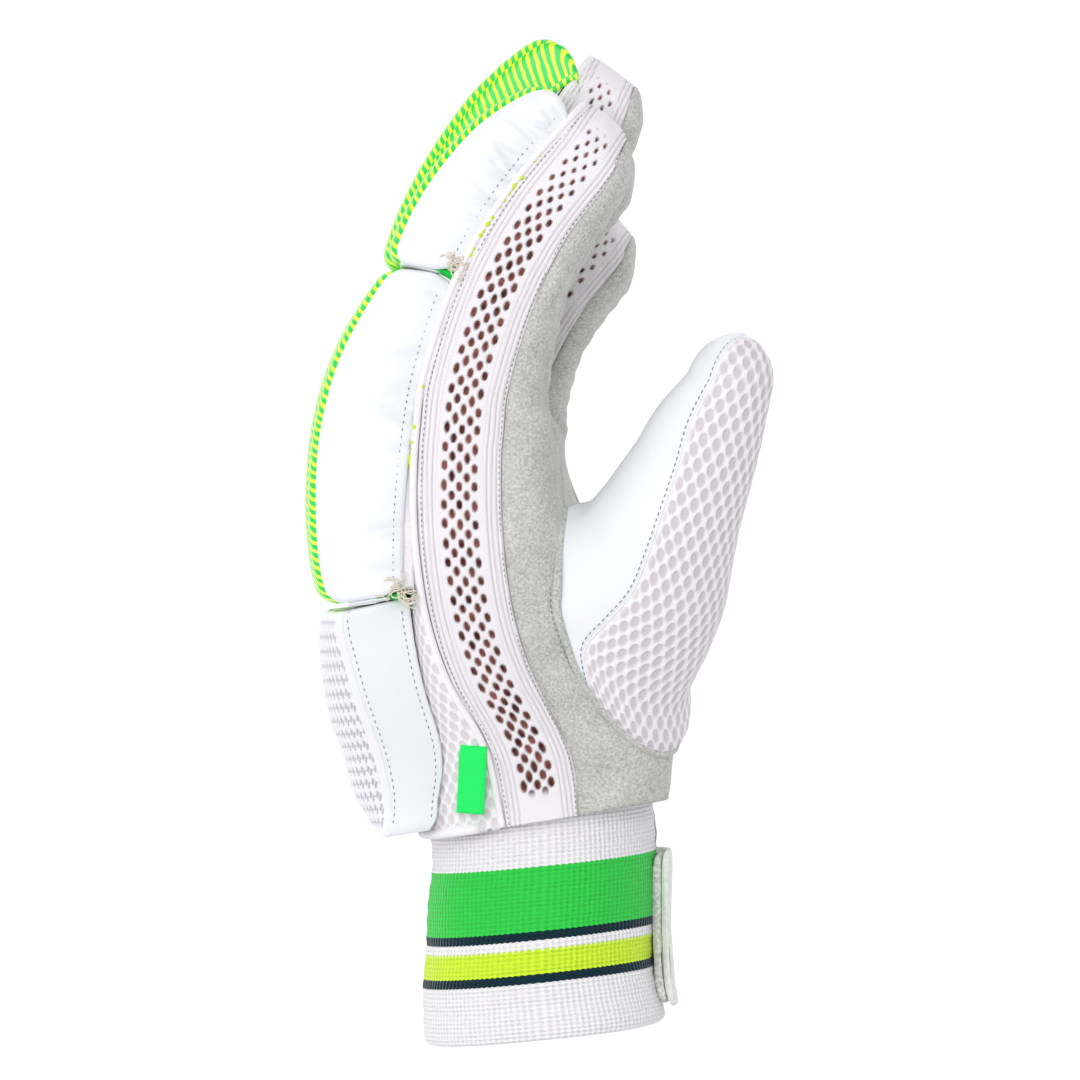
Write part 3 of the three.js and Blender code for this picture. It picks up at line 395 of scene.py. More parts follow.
HAND = Spine(
    np.array([-0.147 * HAND_LENGTH, -0.431 * HAND_LENGTH]),
    -BELOW_CUFF,
    WEB,
    lambda s: heading(WRIST_HEADING, HAND_BENDS, s),
)


@dataclass
class Finger:
    """One finger: its size and bends as shares of the hand's length, counted from the floor up."""

    name: str
    number: int
    length: float
    lift: float
    depth: float
    pad: float
    split: float
    bare: float
    bends: tuple[tuple[float, float, float], ...]
    first: float = 0.293
    z: float = field(init=False)
    tip: float = field(init=False)
    rise: float = field(init=False)
    beyond: Spine = field(init=False)

    def __post_init__(self) -> None:
        """Works out the finger's height, its end and its own line past the web."""
        self.z = FINGER_WIDTH / 2 + self.number * (FINGER_WIDTH + FINGER_GAP)
        self.tip = self.length * HAND_LENGTH
        self.rise = self.lift * FINGER_DEPTH
        web = HAND.at(WEB)
        turned = float(heading(WRIST_HEADING, HAND_BENDS, np.array(WEB)))
        self.beyond = Spine(
            web.point + web.inward * self.rise, WEB, self.tip, lambda s: heading(turned, self.bends, s)
        )

    def at(self, along: Array | float) -> Frame:
        """The finger's frames: the hand's own below the web, moved to the knuckle.

        Args:
            along: distances.

        Returns:
            The frames.
        """
        along = np.asarray(along, float)
        own, hand = self.beyond.at(np.maximum(along, WEB)), HAND.at(np.minimum(along, WEB))
        lifted = hand.point + hand.inward * (self.rise * ease(along / WEB))[..., None]
        parts = zip(own, (lifted, hand.forward, hand.inward))
        return Frame(*(np.where((along > WEB)[..., None], past, before) for past, before in parts))

    def read(self, column: str, along: Array) -> Array:
        """A size of the finger at some distances."""
        at = (along - WEB) / (self.tip - WEB)
        return FINGER_SECTIONS.read(column, at) * FINGER_DEPTH * self.depth

    def tip_share(self, along: Array) -> Array:
        """How much of the finger's width is left: a quarter circle over its last stretch."""
        t = np.clip((along - self.tip + FINGERTIP_ROUND) / FINGERTIP_ROUND, 0, 1)
        return np.sqrt(1 - t * t)


LITTLE = Finger(
    "little", 0, length=0.888, lift=0.28, depth=0.96, pad=0.95, split=0.63, bare=0.5,
    bends=((0.56, 0.14, 17), (0.68, 0.16, 15), (0.81, 0.12, 9)),
)
RING = Finger(
    "ring", 1, length=0.985, lift=-0.01, depth=0.95, pad=1.0, split=0.69, bare=0.5,
    bends=((0.555, 0.14, 11.5), (0.71, 0.2, 17), (0.86, 0.14, 9)),
)
MIDDLE = Finger(
    "middle", 2, length=1.044, lift=0, depth=1.03, pad=1.07, split=0.704, bare=0.28,
    bends=((0.555, 0.12, 9), (0.725, 0.21, 13), (0.9, 0.16, 5.5)),
)
INDEX = Finger(
    "index", 3, length=0.981, lift=0, depth=1.0, pad=1.0, split=0.704, bare=0.4,
    bends=((0.555, 0.12, 9.5), (0.71, 0.21, 17), (0.85, 0.14, 8.5)),
)
FINGERS = (LITTLE, RING, MIDDLE, INDEX)


def half_width(along: Array) -> Array:
    """Half the hand's width at some distances."""
    return HAND_SECTIONS.read("width", along / HAND_LENGTH) * HAND_WIDTH / 2


def hand_depth(column: str, along: Array | float) -> Array:
    """One of the hand's depths at some distances."""
    return HAND_SECTIONS.read(column, along / HAND_LENGTH) * WRIST_DEPTH


def back_depth(along: Array | float, reach: Array) -> Array:
    """The back's depth at a share, -1 to 1, of the half width: an arch from the edges' depth up."""
    return mix(hand_depth("backing", along), hand_depth("back", along), arch(reach))


def knuckle_rise(z: Array) -> Array:
    """How far the knuckles stand towards the palm at a height, smoothly from finger to finger.

    Args:
        z: heights off the floor.

    Returns:
        The rises.
    """
    spot = np.clip((z - FINGER_WIDTH / 2) / (FINGER_WIDTH + FINGER_GAP), 0, 3)
    k = np.minimum(2, np.floor(spot).astype(int))
    rises = np.array([finger.rise for finger in FINGERS])
    return mix(rises[k], rises[k + 1], ease(spot - k))


def back_point(finger: Finger, along: Array, across: Array) -> Array:
    """The back of the glove over one finger, from its lower side, 0, to its upper, 1.

    On the hand it is an arch between the two edges' depth and the middle's, a rounded quarter of
    power 2.8; on a finger it is flat. The two are mixed smoothly past the web.

    Args:
        finger: the finger.
        along: distances.
        across: shares from its lower side to its upper.

    Returns:
        The points.
    """
    along, across = np.broadcast_arrays(np.asarray(along, float), np.asarray(across, float))
    finger_z = finger.z + (across * 2 - 1) * FINGER_WIDTH / 2 * finger.tip_share(along)
    on_finger = place(finger.at(along), np.zeros_like(along), finger_z)
    reach = finger.z + (across - 0.5) * (FINGER_WIDTH + FINGER_GAP) - HAND_MIDDLE
    reach = reach / (HAND_MIDDLE + FINGER_GAP / 2)
    depth = back_depth(along, reach) + knuckle_rise(finger_z) * ease(along / WEB)
    on_hand = place(HAND.at(along), depth, HAND_MIDDLE + reach * half_width(along))
    return mix(on_hand, on_finger, ease((along - WEB) / WEB_BLEND)[..., None])


def palm_depth(along: Array, reach: Array) -> Array:
    """The palm's depth at a share, -1 to 1, of the hand's half width, before its edges round off.

    Args:
        along: distances.
        reach: the shares.

    Returns:
        The depths.
    """
    little, index = hand_depth("palm_little", along), hand_depth("palm_index", along)
    hollow = PALM_HOLLOW * np.sin(math.pi * np.clip(along / WEB, 0, 1)) * (1 - reach * reach)
    return mix(little, index, ease((reach + 1) / 2)) - hollow * WRIST_DEPTH


def palm_point(finger: Finger, along: Array, across: Array) -> Array:
    """The palm side over one finger: a section like a rounded rectangle, of power 2.7.

    Args:
        finger: the finger.
        along: distances.
        across: shares from its lower side to its upper.

    Returns:
        The points.
    """
    along, across = np.broadcast_arrays(np.asarray(along, float), np.asarray(across, float))
    side = across * 2 - 1
    tip = finger.tip_share(along)
    seam = finger.read("seam", along)
    depth = seam + (finger.read("depth", along) - seam) * tip
    sine, cosine = np.abs(np.sin(TAU / 4 * side)), np.maximum(0, np.cos(TAU / 4 * side))
    finger_z = finger.z + np.sign(side) * FINGER_WIDTH / 2 * tip * sine**PALM_POWER
    on_finger = place(finger.at(along), seam + (depth - seam) * cosine**PALM_POWER, finger_z)
    reach = -1 + 2 * FINGER_SHARE * (finger.number + across)
    deep = palm_depth(along, reach)
    if finger.number in (0, 3):
        outer = 1 if finger.number == 3 else -1
        t = across if outer > 0 else 1 - across
        edge = hand_depth("seam", along)
        reach = outer * (1 - 2 * FINGER_SHARE + 2 * FINGER_SHARE * np.sin(TAU / 4 * t) ** PALM_POWER)
        deep = edge + (palm_depth(along, reach) - edge) * np.maximum(0, np.cos(TAU / 4 * t)) ** PALM_POWER
    on_hand = place(HAND.at(along), deep, HAND_MIDDLE + reach * half_width(along))
    return mix(on_hand, on_finger, ease((along - WEB) / WEB_BLEND)[..., None])


def palm_surface_depth(along: Array, z: Array) -> Array:
    """The palm's depth in the hand's own frame at a distance and a height, its edges included.

    Args:
        along: distances.
        z: heights off the floor.

    Returns:
        The depths.
    """
    reach = np.clip((z - HAND_MIDDLE) / half_width(along), -1, 1)
    deep = palm_depth(along, reach)
    edge = hand_depth("seam", along)
    u = np.clip((np.abs(reach) - (1 - 2 * FINGER_SHARE)) / (2 * FINGER_SHARE), 0, 1)
    t = np.arcsin(np.clip(u ** (1 / PALM_POWER), 0, 1))
    return np.where(u > 0, edge + (deep - edge) * np.maximum(0, np.cos(t)) ** PALM_POWER, deep)


def thumb_point(at: Array, turn: Array, grow: float = 0.0) -> Array:
    """The thumb's surface: ellipses on a bent line, and a dome from at 1 to at 2 for its tip.

    Args:
        at: places on the line.
        turn: turns about it.
        grow: how far outside the surface.

    Returns:
        The points.
    """
    at, turn = np.broadcast_arrays(np.asarray(at, float), np.asarray(turn, float))
    low = np.minimum(1, at)
    dome = TAU / 4 * np.maximum(0, at - 1)
    way = np.radians(THUMB_RINGS.read("turn", low))
    c, s = np.cos(np.radians(turn)), np.sin(np.radians(turn))
    width = (THUMB_RINGS.read("width", low) * THUMB_HALF_WIDTH + grow) * np.cos(dome)
    depth = (THUMB_RINGS.read("depth", low) * THUMB_HALF_DEPTH + grow) * np.cos(dome)
    onward = (THUMB_TIP + grow) * np.sin(dome) - THUMB_RINGS.read("slope", low) * depth * s
    x = THUMB_RINGS.read("x", low) * HAND_LENGTH + np.cos(way) * width * c + np.sin(way) * onward
    y = THUMB_RINGS.read("y", low) * HAND_LENGTH - np.sin(way) * width * c + np.cos(way) * onward
    return np.stack([x, y, THUMB_RINGS.read("z", low) * HAND_WIDTH + depth * s], axis=-1)


def cuff_point(at: Array, turn: Array, grow: Array | float) -> Array:
    """The cuff's surface: a rounded oval that turns about the wrist, 0 being the palm side.

    Args:
        at: shares of its length.
        turn: the turns.
        grow: how far outside the surface.

    Returns:
        The points.
    """
    at, turn = np.broadcast_arrays(np.asarray(at, float), np.asarray(turn, float))
    half = CUFF_SECTIONS.read("half", at) * WRIST_DEPTH
    middle = -0.022 * HAND_LENGTH + CUFF_SECTIONS.read("shift", at) * WRIST_DEPTH
    c, s = np.cos(np.radians(turn)), np.sin(np.radians(turn))
    x = middle + (half + grow) * signed_power(c, OVAL_POWER)
    top = -0.431 * HAND_LENGTH + BELOW_CUFF + CUFF_TUCK
    y = top - CUFF_LENGTH * (1 - at) + 0.1 * (x - middle)
    z = HAND_MIDDLE + (CUFF_HALF_HEIGHT + grow) * signed_power(s, OVAL_POWER)
    return np.stack([x, y, z], axis=-1)


def shift_to_frame() -> Array:
    """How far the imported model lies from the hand's own zero, found from the cuff's corner.

    Returns:
        The distances in X, Y and Z.
    """
    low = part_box("cuff")[0]
    turns, at = np.arange(0, 360, 15.0)[None, :], np.linspace(0, 1, 6)[:, None]
    own = cuff_point(at, turns, 0.0).reshape(-1, 3).min(axis=0)
    return np.array([low[0] / MM - own[0], low[1] / MM - own[1], 0.0])


@dataclass
class Shape:
    """A mesh before it is made: points, faces of three or four corners, and values per point."""

    points: Array
    faces: list[Array]
    uv: Array
    values: dict[str, Array] = field(default_factory=dict)

    @staticmethod
    def joined(shapes: list["Shape"]) -> "Shape":
        """Several shapes as one. They carry the same values.

        Args:
            shapes: the shapes.

        Returns:
            The one shape.
        """
        counts = np.cumsum([0] + [len(shape.points) for shape in shapes])
        faces = [part + start for shape, start in zip(shapes, counts) for part in shape.faces]
        names = shapes[0].values
        return Shape(
            np.vstack([shape.points for shape in shapes]),
            faces,
            np.vstack([shape.uv for shape in shapes]),
            {name: np.concatenate([shape.values[name] for shape in shapes]) for name in names},
        )


def quads(rows: int, columns: int, loop: bool = False) -> Array:
    """The faces of a grid of points, closed into a tube if loop is true.

    Args:
        rows: the grid's rows.
        columns: its columns.
        loop: whether its last column joins its first.

    Returns:
        Four corners for each face.
    """
    i, j = np.meshgrid(np.arange(rows - 1), np.arange(columns if loop else columns - 1), indexing="ij")
    nxt = (j + 1) % columns
    corners = (i * columns + j, i * columns + nxt, (i + 1) * columns + nxt, (i + 1) * columns + j)
    return np.stack([c.ravel() for c in corners], axis=-1)


def sheet(points: Array, inside: Array, uv: Array, values: dict[str, Array] | None = None) -> Shape:
    """An open grid of points as a shape whose faces point away from inside.

    Args:
        points: the grid, rows by columns by three.
        inside: one point, or a grid of them, that the sheet encloses.
        uv: the grid's places on the flat cloth, in millimetres.
        values: more numbers for each point of the grid.

    Returns:
        The shape.
    """
    rows, columns = points.shape[:2]
    across = points[:, 1:] - points[:, :-1]
    along = points[1:] - points[:-1]
    normal = np.cross(across[:-1], along[:, :-1])
    away = (points - inside)[:-1, :-1]
    faces = quads(rows, columns)
    if np.sum(normal * away) < 0:
        faces = faces[:, ::-1]
    flat = {name: np.broadcast_to(v, (rows, columns)).ravel() for name, v in (values or {}).items()}
    plan = np.broadcast_to(uv, (rows, columns, 2)).reshape(-1, 2)
    return Shape(points.reshape(-1, 3), [faces], plan, flat)


def tube(rings: Array, uv: Array | None = None, capped: bool = True) -> Shape:
    """Rings of points as a closed body: a point in the middle of each end closes it.

    Args:
        rings: rings by points by three.
        uv: a place on the flat cloth for each point.
        capped: whether the ends are closed, or the last ring joins the first.

    Returns:
        The shape, with its faces outwards.
    """
    count, size = rings.shape[:2]
    uv = np.zeros((count, size, 2)) if uv is None else np.broadcast_to(uv, (count, size, 2))
    points, plan = rings.reshape(-1, 3), uv.reshape(-1, 2)
    faces = [quads(count, size, loop=True)]
    j = np.arange(size)
    k = (j + 1) % size
    last = (count - 1) * size
    if capped:
        hub = np.full(size, count * size)
        faces.append(np.stack([hub, k, j], axis=-1))
        faces.append(np.stack([hub + 1, last + j, last + k], axis=-1))
        points = np.vstack([points, rings[0].mean(axis=0), rings[-1].mean(axis=0)])
        plan = np.vstack([plan, uv[0].mean(axis=0), uv[-1].mean(axis=0)])
    else:
        faces.append(np.stack([last + j, last + k, k, j], axis=-1))
    shape = Shape(points, faces, plan)
    return flipped(shape) if signed_volume(shape) < 0 else shape


def signed_volume(shape: Shape) -> float:
    """The volume that the faces enclose, less than zero if they point inwards.

    Args:
        shape: a closed shape.

    Returns:
        The volume.
    """
    total = 0.0
    for part in shape.faces:
        a = shape.points[part[:, 0]]
        for k in range(1, part.shape[1] - 1):
            b, c = shape.points[part[:, k]], shape.points[part[:, k + 1]]
            total += float(np.sum(a * np.cross(b, c)))
    return total / 6


def flipped(shape: Shape) -> Shape:
    """The same shape with its faces the other way round."""
    return Shape(shape.points, [part[:, ::-1] for part in shape.faces], shape.uv, shape.values)


def linear(code: str) -> tuple[float, float, float, float]:
    """An sRGB colour such as #f7f8fb as linear red, green, blue and alpha.

    Args:
        code: the colour.

    Returns:
        The four numbers.
    """
    parts = [int(code[k : k + 2], 16) / 255 for k in (1, 3, 5)]
    curve = [c / 12.92 if c <= 0.04045 else ((c + 0.055) / 1.055) ** 2.4 for c in parts]
    return (*curve, 1.0)


def add_node(tree: Tree, kind: str, settings: dict | None = None, **sockets: object) -> bpy.types.Node:
    """Adds a node, sets its properties, and sets or links its inputs.

    Args:
        tree: the material's node tree.
        kind: the node's type, less its first part, ShaderNode.
        settings: the node's own properties.
        sockets: a value, an sRGB colour such as #f7f8fb, a node or an output for each input. The
            input goes by its name, with _ for a space, or by its number, as i0 or i1.

    Returns:
        The node.
    """
    node = tree.nodes.new("ShaderNode" + kind)
    for name, value in (settings or {}).items():
        setattr(node, name, value)
    for name, value in sockets.items():
        key = int(name[1:]) if name[0] == "i" and name[1:].isdigit() else name.replace("_", " ")
        if isinstance(value, bpy.types.Node):
            value = value.outputs[0]
        if isinstance(value, Socket):
            tree.links.new(value, node.inputs[key])
        else:
            node.inputs[key].default_value = linear(value) if isinstance(value, str) else value
    return node


RGBA = {"data_type": "RGBA"}
Adder = Callable[..., bpy.types.Node]
Pattern = tuple[Socket, bpy.types.Node]


@dataclass(frozen=True)
class Finish:
    """What every finish has: a name, a main colour, the shader's plain numbers and its relief."""

    name: str
    colour: str
    roughness: float = 0.5
    specular: float = 0.5
    sheen: float = 0.0
    coat: float = 0.0
    relief: float = 0.04

    def make(self) -> bpy.types.Material:
        """Makes the material.

        Returns:
            The material, with its colour and its relief linked to the shader.
        """
        material = bpy.data.materials.new(self.name)
        material.use_nodes = True
        material.diffuse_color = linear(self.colour)
        tree = material.node_tree
        shader = tree.nodes["Principled BSDF"]
        plain = {
            "Base Color": linear(self.colour),
            "Roughness": self.roughness,
            "Specular IOR Level": self.specular,
            "Sheen Weight": self.sheen,
            "Sheen Roughness": 0.4,
            "Coat Weight": self.coat,
        }
        for name, value in plain.items():
            shader.inputs[name].default_value = value
        add = partial(add_node, tree)
        colour, height = self.dress(add, add("TexCoord").outputs["Object"])
        tree.links.new(colour, shader.inputs["Base Color"])
        bump = add("Bump", None, Strength=1.0, Distance=self.relief * MM, Height=height)
        tree.links.new(bump.outputs[0], shader.inputs["Normal"])
        return material

    def dress(self, add: Adder, spot: Socket) -> Pattern:
        """Adds the finish's own pattern.

        Args:
            add: adds a node to the material.
            spot: the place in the object, in metres.

        Returns:
            The colour and the height.
        """
        raise NotImplementedError


@dataclass(frozen=True)
class Leather(Finish):
    """Coated cowhide, plated smooth: the fine cells of its grain break up a soft, even gloss."""

    cloud: str = "#e9ebf0"

    def dress(self, add: Adder, spot: Socket) -> Pattern:
        """The grain as raised cells of about 0.7 mm, under the leather's own inks."""
        grain = add("TexVoronoi", {"feature": "DISTANCE_TO_EDGE"}, Vector=spot, Scale=1400.0)
        return self.ink(add, spot), grain

    def ink(self, add: Adder, spot: Socket) -> Socket:
        """A faint cloudiness, about 18 mm from patch to patch."""
        cloud = add("TexNoise", None, Vector=spot, Scale=55.0, Detail=3.0)
        return add("Mix", RGBA, i0=cloud, i6=self.colour, i7=self.cloud).outputs[2]


@dataclass(frozen=True)
class EmbossedLeather(Leather):
    """Leather pressed with a raised pattern: a lilac-grey painted shade lies in the pressed grooves."""

    # Painted shade for the pressed grooves.
    groove_shade: str = "#b3b0bb"

    def ink(self, add: Adder, spot: Socket) -> Socket:
        """The mesh's own groove value darkens the colour as painted shade."""
        groove_shade = add("Attribute", {"attribute_name": "shade"}).outputs["Fac"]
        return add("Mix", RGBA, i0=groove_shade, i6=self.colour, i7=self.groove_shade).outputs[2]


@dataclass(frozen=True)
class PrintedLeather(Leather):
    """Leather printed with slanting stripes: a gloss coat over flat, bright inks."""

    stripe: str = "#e8ff28"
    pitch: float = 2.1
    slant: float = 0.62
    band: float = 12.7
    jump: float = 1.05

    def ink(self, add: Adder, spot: Socket) -> Socket:
        """Stripes a pitch apart on the flat leather, whose phase jumps from band to band.

        Args:
            add: adds a node to the material.
            spot: the place in the object, in metres.

        Returns:
            The colour.
        """
        wander = add("TexNoise", None, Vector=spot, Scale=330.0, Detail=1.0)
        flat = add("SeparateXYZ", None, Vector=add("UVMap", {"uv_map": "UVMap"}))
        along, across = flat.outputs[:2]
        more, times = {"operation": "MULTIPLY_ADD"}, {"operation": "MULTIPLY"}
        slant = add("Math", more, i0=across, i1=self.slant, i2=along)
        band = add("Math", times, i0=across, i1=1 / self.band)
        step = add("Math", {"operation": "FLOOR"}, i0=band)
        phase = add("Math", more, i0=step, i1=self.jump, i2=slant)
        loose = add("Math", more, i0=wander, i1=0.9, i2=phase)
        wave = add("Math", times, i0=loose, i1=TAU / self.pitch)
        sine = add("Math", {"operation": "SINE"}, i0=wave)
        edge = add("MapRange", None, Value=sine, From_Min=0.0, From_Max=0.4)
        return add("Mix", RGBA, i0=edge, i6=self.colour, i7=self.stripe).outputs[2]


@dataclass(frozen=True)
class Suede(Finish):
    """Napped suede: matt, speckled where the nap lies the other way, with short dark flecks."""

    relief: float = 0.2
    light: str = "#e9e9e4"
    fleck: str = "#94958f"

    def dress(self, add: Adder, spot: Socket) -> Pattern:
        """Speckles of 0.6 to 2 mm from noise, and a rough nap as relief.

        Args:
            add: adds a node to the material.
            spot: the place in the object, in metres.

        Returns:
            The colour and the height.
        """
        nap = add("TexNoise", None, Vector=spot, Scale=1400.0, Detail=4.0, Roughness=0.75)
        patch = add("TexNoise", None, Vector=spot, Scale=110.0, Detail=2.0)
        spread = add("MapRange", None, Value=nap, From_Min=0.36, From_Max=0.66)
        base = add("Mix", RGBA, i0=patch, i6=self.colour, i7=self.light).outputs[2]
        speckled = add("Mix", RGBA, i0=spread, i6=self.fleck, i7=base).outputs[2]
        soft = add("Mix", RGBA, i0=patch, i6=speckled, i7=base).outputs[2]
        return add("Mix", RGBA, i0=0.45, i6=speckled, i7=soft).outputs[2], nap


@dataclass(frozen=True)
class Knit(Finish):
    """White polyester knit: a matt face of small loops, with red-brown painted shade where a hole goes
    through.
    """

    relief: float = 0.07
    loop: float = 0.75
    # The holes' colours are painted shade of the glove's hollow inside, tinted red-brown.
    hole: str = "#451d1b"
    pale_hole_shade: str = "#8f564d"
    thread_shade: str = "#efe9ee"
    # Painted shade for the grooves between the elastic ridges.
    groove_shade: str = "#8f838b"

    def dress(self, add: Adder, spot: Socket) -> Pattern:
        """Loops as two crossed waves on the flat cloth, with painted shade in the mesh's own grooves and
        holes.

        Args:
            add: adds a node to the material.
            spot: the place in the object, in metres.

        Returns:
            The colour and the height.
        """
        flat = add("SeparateXYZ", None, Vector=add("UVMap", {"uv_map": "UVMap"}))
        waves = []
        for way in flat.outputs[:2]:
            angle = add("Math", {"operation": "MULTIPLY"}, i0=way, i1=TAU / self.loop)
            waves.append(add("Math", {"operation": "SINE"}, i0=angle))
        loops = add("Math", {"operation": "MULTIPLY"}, i0=waves[0], i1=waves[1])
        fuzz = add("TexNoise", None, Vector=spot, Scale=1500.0, Detail=2.0)
        height = add("Math", {"operation": "ADD"}, i0=loops, i1=fuzz)
        shade = add("MapRange", None, Value=height, From_Min=-0.5, From_Max=1.1)
        thread = add("Mix", RGBA, i0=shade, i6=self.thread_shade, i7=self.colour).outputs[2]
        # The mesh's shade value paints shade into the grooves between the ridges.
        groove_shade = add("Attribute", {"attribute_name": "shade"}).outputs["Fac"]
        ridged = add("Mix", RGBA, i0=groove_shade, i6=thread, i7=self.groove_shade).outputs[2]
        # Noise mixes darker and paler painted shade across the holes.
        depth = add("TexNoise", None, Vector=spot, Scale=260.0, Detail=1.0)
        spread = add("MapRange", None, Value=depth, From_Min=0.35, From_Max=0.7)
        inside = add("Mix", RGBA, i0=spread, i6=self.hole, i7=self.pale_hole_shade).outputs[2]
        hole = add("Attribute", {"attribute_name": "hole"}).outputs["Fac"]
        return add("Mix", RGBA, i0=hole, i6=ridged, i7=inside).outputs[2], height


@dataclass(frozen=True)
class SpacerMesh(Finish):
    """Polyester spacer fabric: a raised white net over a pink-grey ground that shows in its cells."""

    relief: float = 0.12
    ground: str = "#d3cbcf"
    net_shade: str = "#eee9ed"

    def dress(self, add: Adder, spot: Socket) -> Pattern:
        """The cells from the mesh's own value, and thread on the net between them.

        Args:
            add: adds a node to the material.
            spot: the place in the object, in metres.

        Returns:
            The colour and the height.
        """
        thread = add("TexNoise", None, Vector=spot, Scale=1300.0, Detail=3.0)
        net = add("Mix", RGBA, i0=thread, i6=self.net_shade, i7=self.colour).outputs[2]
        cell = add("Attribute", {"attribute_name": "hole"}).outputs["Fac"]
        return add("Mix", RGBA, i0=cell, i6=net, i7=self.ground).outputs[2], thread


@dataclass(frozen=True)
class CuffKnit(Finish):
    """Towelling knit: rows of soft purl bumps, drawn 2.3 mm apart to show, with knitted stripes."""

    relief: float = 0.25
    bump_step: float = 2.3
    bump_slant: float = 0.8
    bands: tuple[tuple[float, str], ...] = (
        (0.0, "#fdfbfd"),
        (13.9, "#0d2f3a"),
        (16.3, "#daff38"),
        (22.7, "#fdfbfd"),
        (25.3, "#0d2f3a"),
        (27.6, "#36da50"),
        (45.0, "#fdfbfd"),
    )

    def dress(self, add: Adder, spot: Socket) -> Pattern:
        """Bumps as two crossed slanting waves, their low parts darkened as painted shade; the stripes' edges
        follow the bumps.

        Args:
            add: adds a node to the material.
            spot: the place in the object, in metres.

        Returns:
            The colour and the height.
        """
        flat = add("SeparateXYZ", None, Vector=add("UVMap", {"uv_map": "UVMap"}))
        around, up = flat.outputs[:2]
        more, times = {"operation": "MULTIPLY_ADD"}, {"operation": "MULTIPLY"}
        waves = []
        for slant in (self.bump_slant, -self.bump_slant):
            turned = add("Math", more, i0=around, i1=slant, i2=up)
            angle = add("Math", times, i0=turned, i1=TAU / self.bump_step)
            waves.append(add("Math", {"operation": "SINE"}, i0=angle))
        bumps = add("Math", times, i0=waves[0], i1=waves[1])
        fuzz = add("TexNoise", None, Vector=spot, Scale=900.0, Detail=3.0)
        height = add("Math", {"operation": "ADD"}, i0=bumps, i1=fuzz)
        edge = add("Math", more, i0=bumps, i1=0.4, i2=up)
        share = add("Math", {"operation": "DIVIDE"}, i0=edge, i1=CUFF_LENGTH)
        ramp = add("ValToRGB", None, Fac=share)
        ramp.color_ramp.interpolation = "CONSTANT"
        stops = ramp.color_ramp.elements
        for k, (start, code) in enumerate(self.bands):
            stop = stops[k] if k < 2 else stops.new(0.999)
            stop.position = start / CUFF_LENGTH
            stop.color = linear(code)
        # Painted shade: the stripes' colours darken where the bumps are low.
        dark = add("MapRange", None, Value=height, From_Min=-0.6, From_Max=0.9, To_Min=0.62)
        shaded = add("Mix", {**RGBA, "blend_type": "MULTIPLY"}, i0=0.6, i6=ramp, i7=dark)
        return shaded.outputs[2], height


@dataclass(frozen=True)
class Fuzz(Finish):
    """Short, dense pile, as on hook-and-loop tape, thread and raw cloth: matt and faintly mottled."""

    relief: float = 0.3
    dark: str = "#9a9a96"
    grain: float = 900.0

    def dress(self, add: Adder, spot: Socket) -> Pattern:
        """Noise of about a millimetre in colour and relief.

        Args:
            add: adds a node to the material.
            spot: the place in the object, in metres.

        Returns:
            The colour and the height.
        """
        nap = add("TexNoise", None, Vector=spot, Scale=self.grain, Detail=4.0, Roughness=0.7)
        spread = add("MapRange", None, Value=nap, From_Min=0.3, From_Max=0.62)
        return add("Mix", RGBA, i0=spread, i6=self.dark, i7=self.colour).outputs[2], nap


class Look(Enum):
    """The glove's finishes, each made once."""

    # Polyurethane-coated cowhide: clean white with a soft sheen along the rolls' edges.
    LEATHER = Leather("White coated leather", "#f0f2f5", roughness=0.36, coat=0.15)
    # The same hide, screen printed: bright, even inks with a slight gloss.
    PRINT = PrintedLeather("Printed leather", "#17d552", roughness=0.4, coat=0.1)
    # The same hide, pressed under a hot plate: painted shade in its grooves reads as a grey lattice.
    EMBOSSED = EmbossedLeather("Embossed leather", "#f1eff4", roughness=0.42)
    # Split leather, buffed: dull, soft grey with a mottled nap.
    SUEDE = Suede("Grey suede", "#d3d4ce", roughness=0.95, specular=0.15, sheen=0.3)
    # Warp-knitted polyester: flat white ribs and rows of open holes, dark with painted shade.
    KNIT = Knit("Perforated polyester knit", "#fbf7fa", roughness=0.85, specular=0.2, sheen=0.15)
    # Two faces of polyester held apart by pile: white net, darker cells.
    MESH = SpacerMesh("Polyester spacer mesh", "#fbf8fa", roughness=0.8, specular=0.25, sheen=0.15)
    # Elastic knitted like towelling: bumpy and matt, with crisp stripes.
    CUFF = CuffKnit("Towelling knit", "#fdfbfd", roughness=0.9, specular=0.2, sheen=0.2)
    # Nylon loop pile, a woven band, satin ribbon and spun threads: all matt, each with its mottling.
    TAPE = Fuzz("Loop tape", "#e9e9e4", roughness=0.95, specular=0.1, sheen=0.3, dark="#a3a49d")
    STRAP = Fuzz("Woven strap", "#f1f2ee", roughness=0.7, specular=0.3, dark="#dcdeda")
    TAG = Fuzz("Satin tag", "#02f868", roughness=0.4, specular=0.4, dark="#00f060", grain=2500.0)
    THREAD = Fuzz("Cotton thread", "#f6eddd", roughness=0.9, specular=0.1, dark="#e2d4bf", grain=2500.0)
    STITCH = Fuzz("Grey sewing thread", "#9b9ba0", roughness=0.8, specular=0.2, dark="#6f6f76", grain=2500.0)
    RAW_EDGE = Fuzz("Yellow raw edge", "#e4ff4a", roughness=0.9, specular=0.1, dark="#c5e52c", grain=2200.0)
    INNER_GREEN = Fuzz("Green lining", "#1fd24c", roughness=0.7, specular=0.2, dark="#0fae3a", grain=1500.0)

    def material(self) -> bpy.types.Material:
        """The finish's material, made on first use."""
        made = bpy.data.materials.get(self.value.name)
        return made or self.value.make()


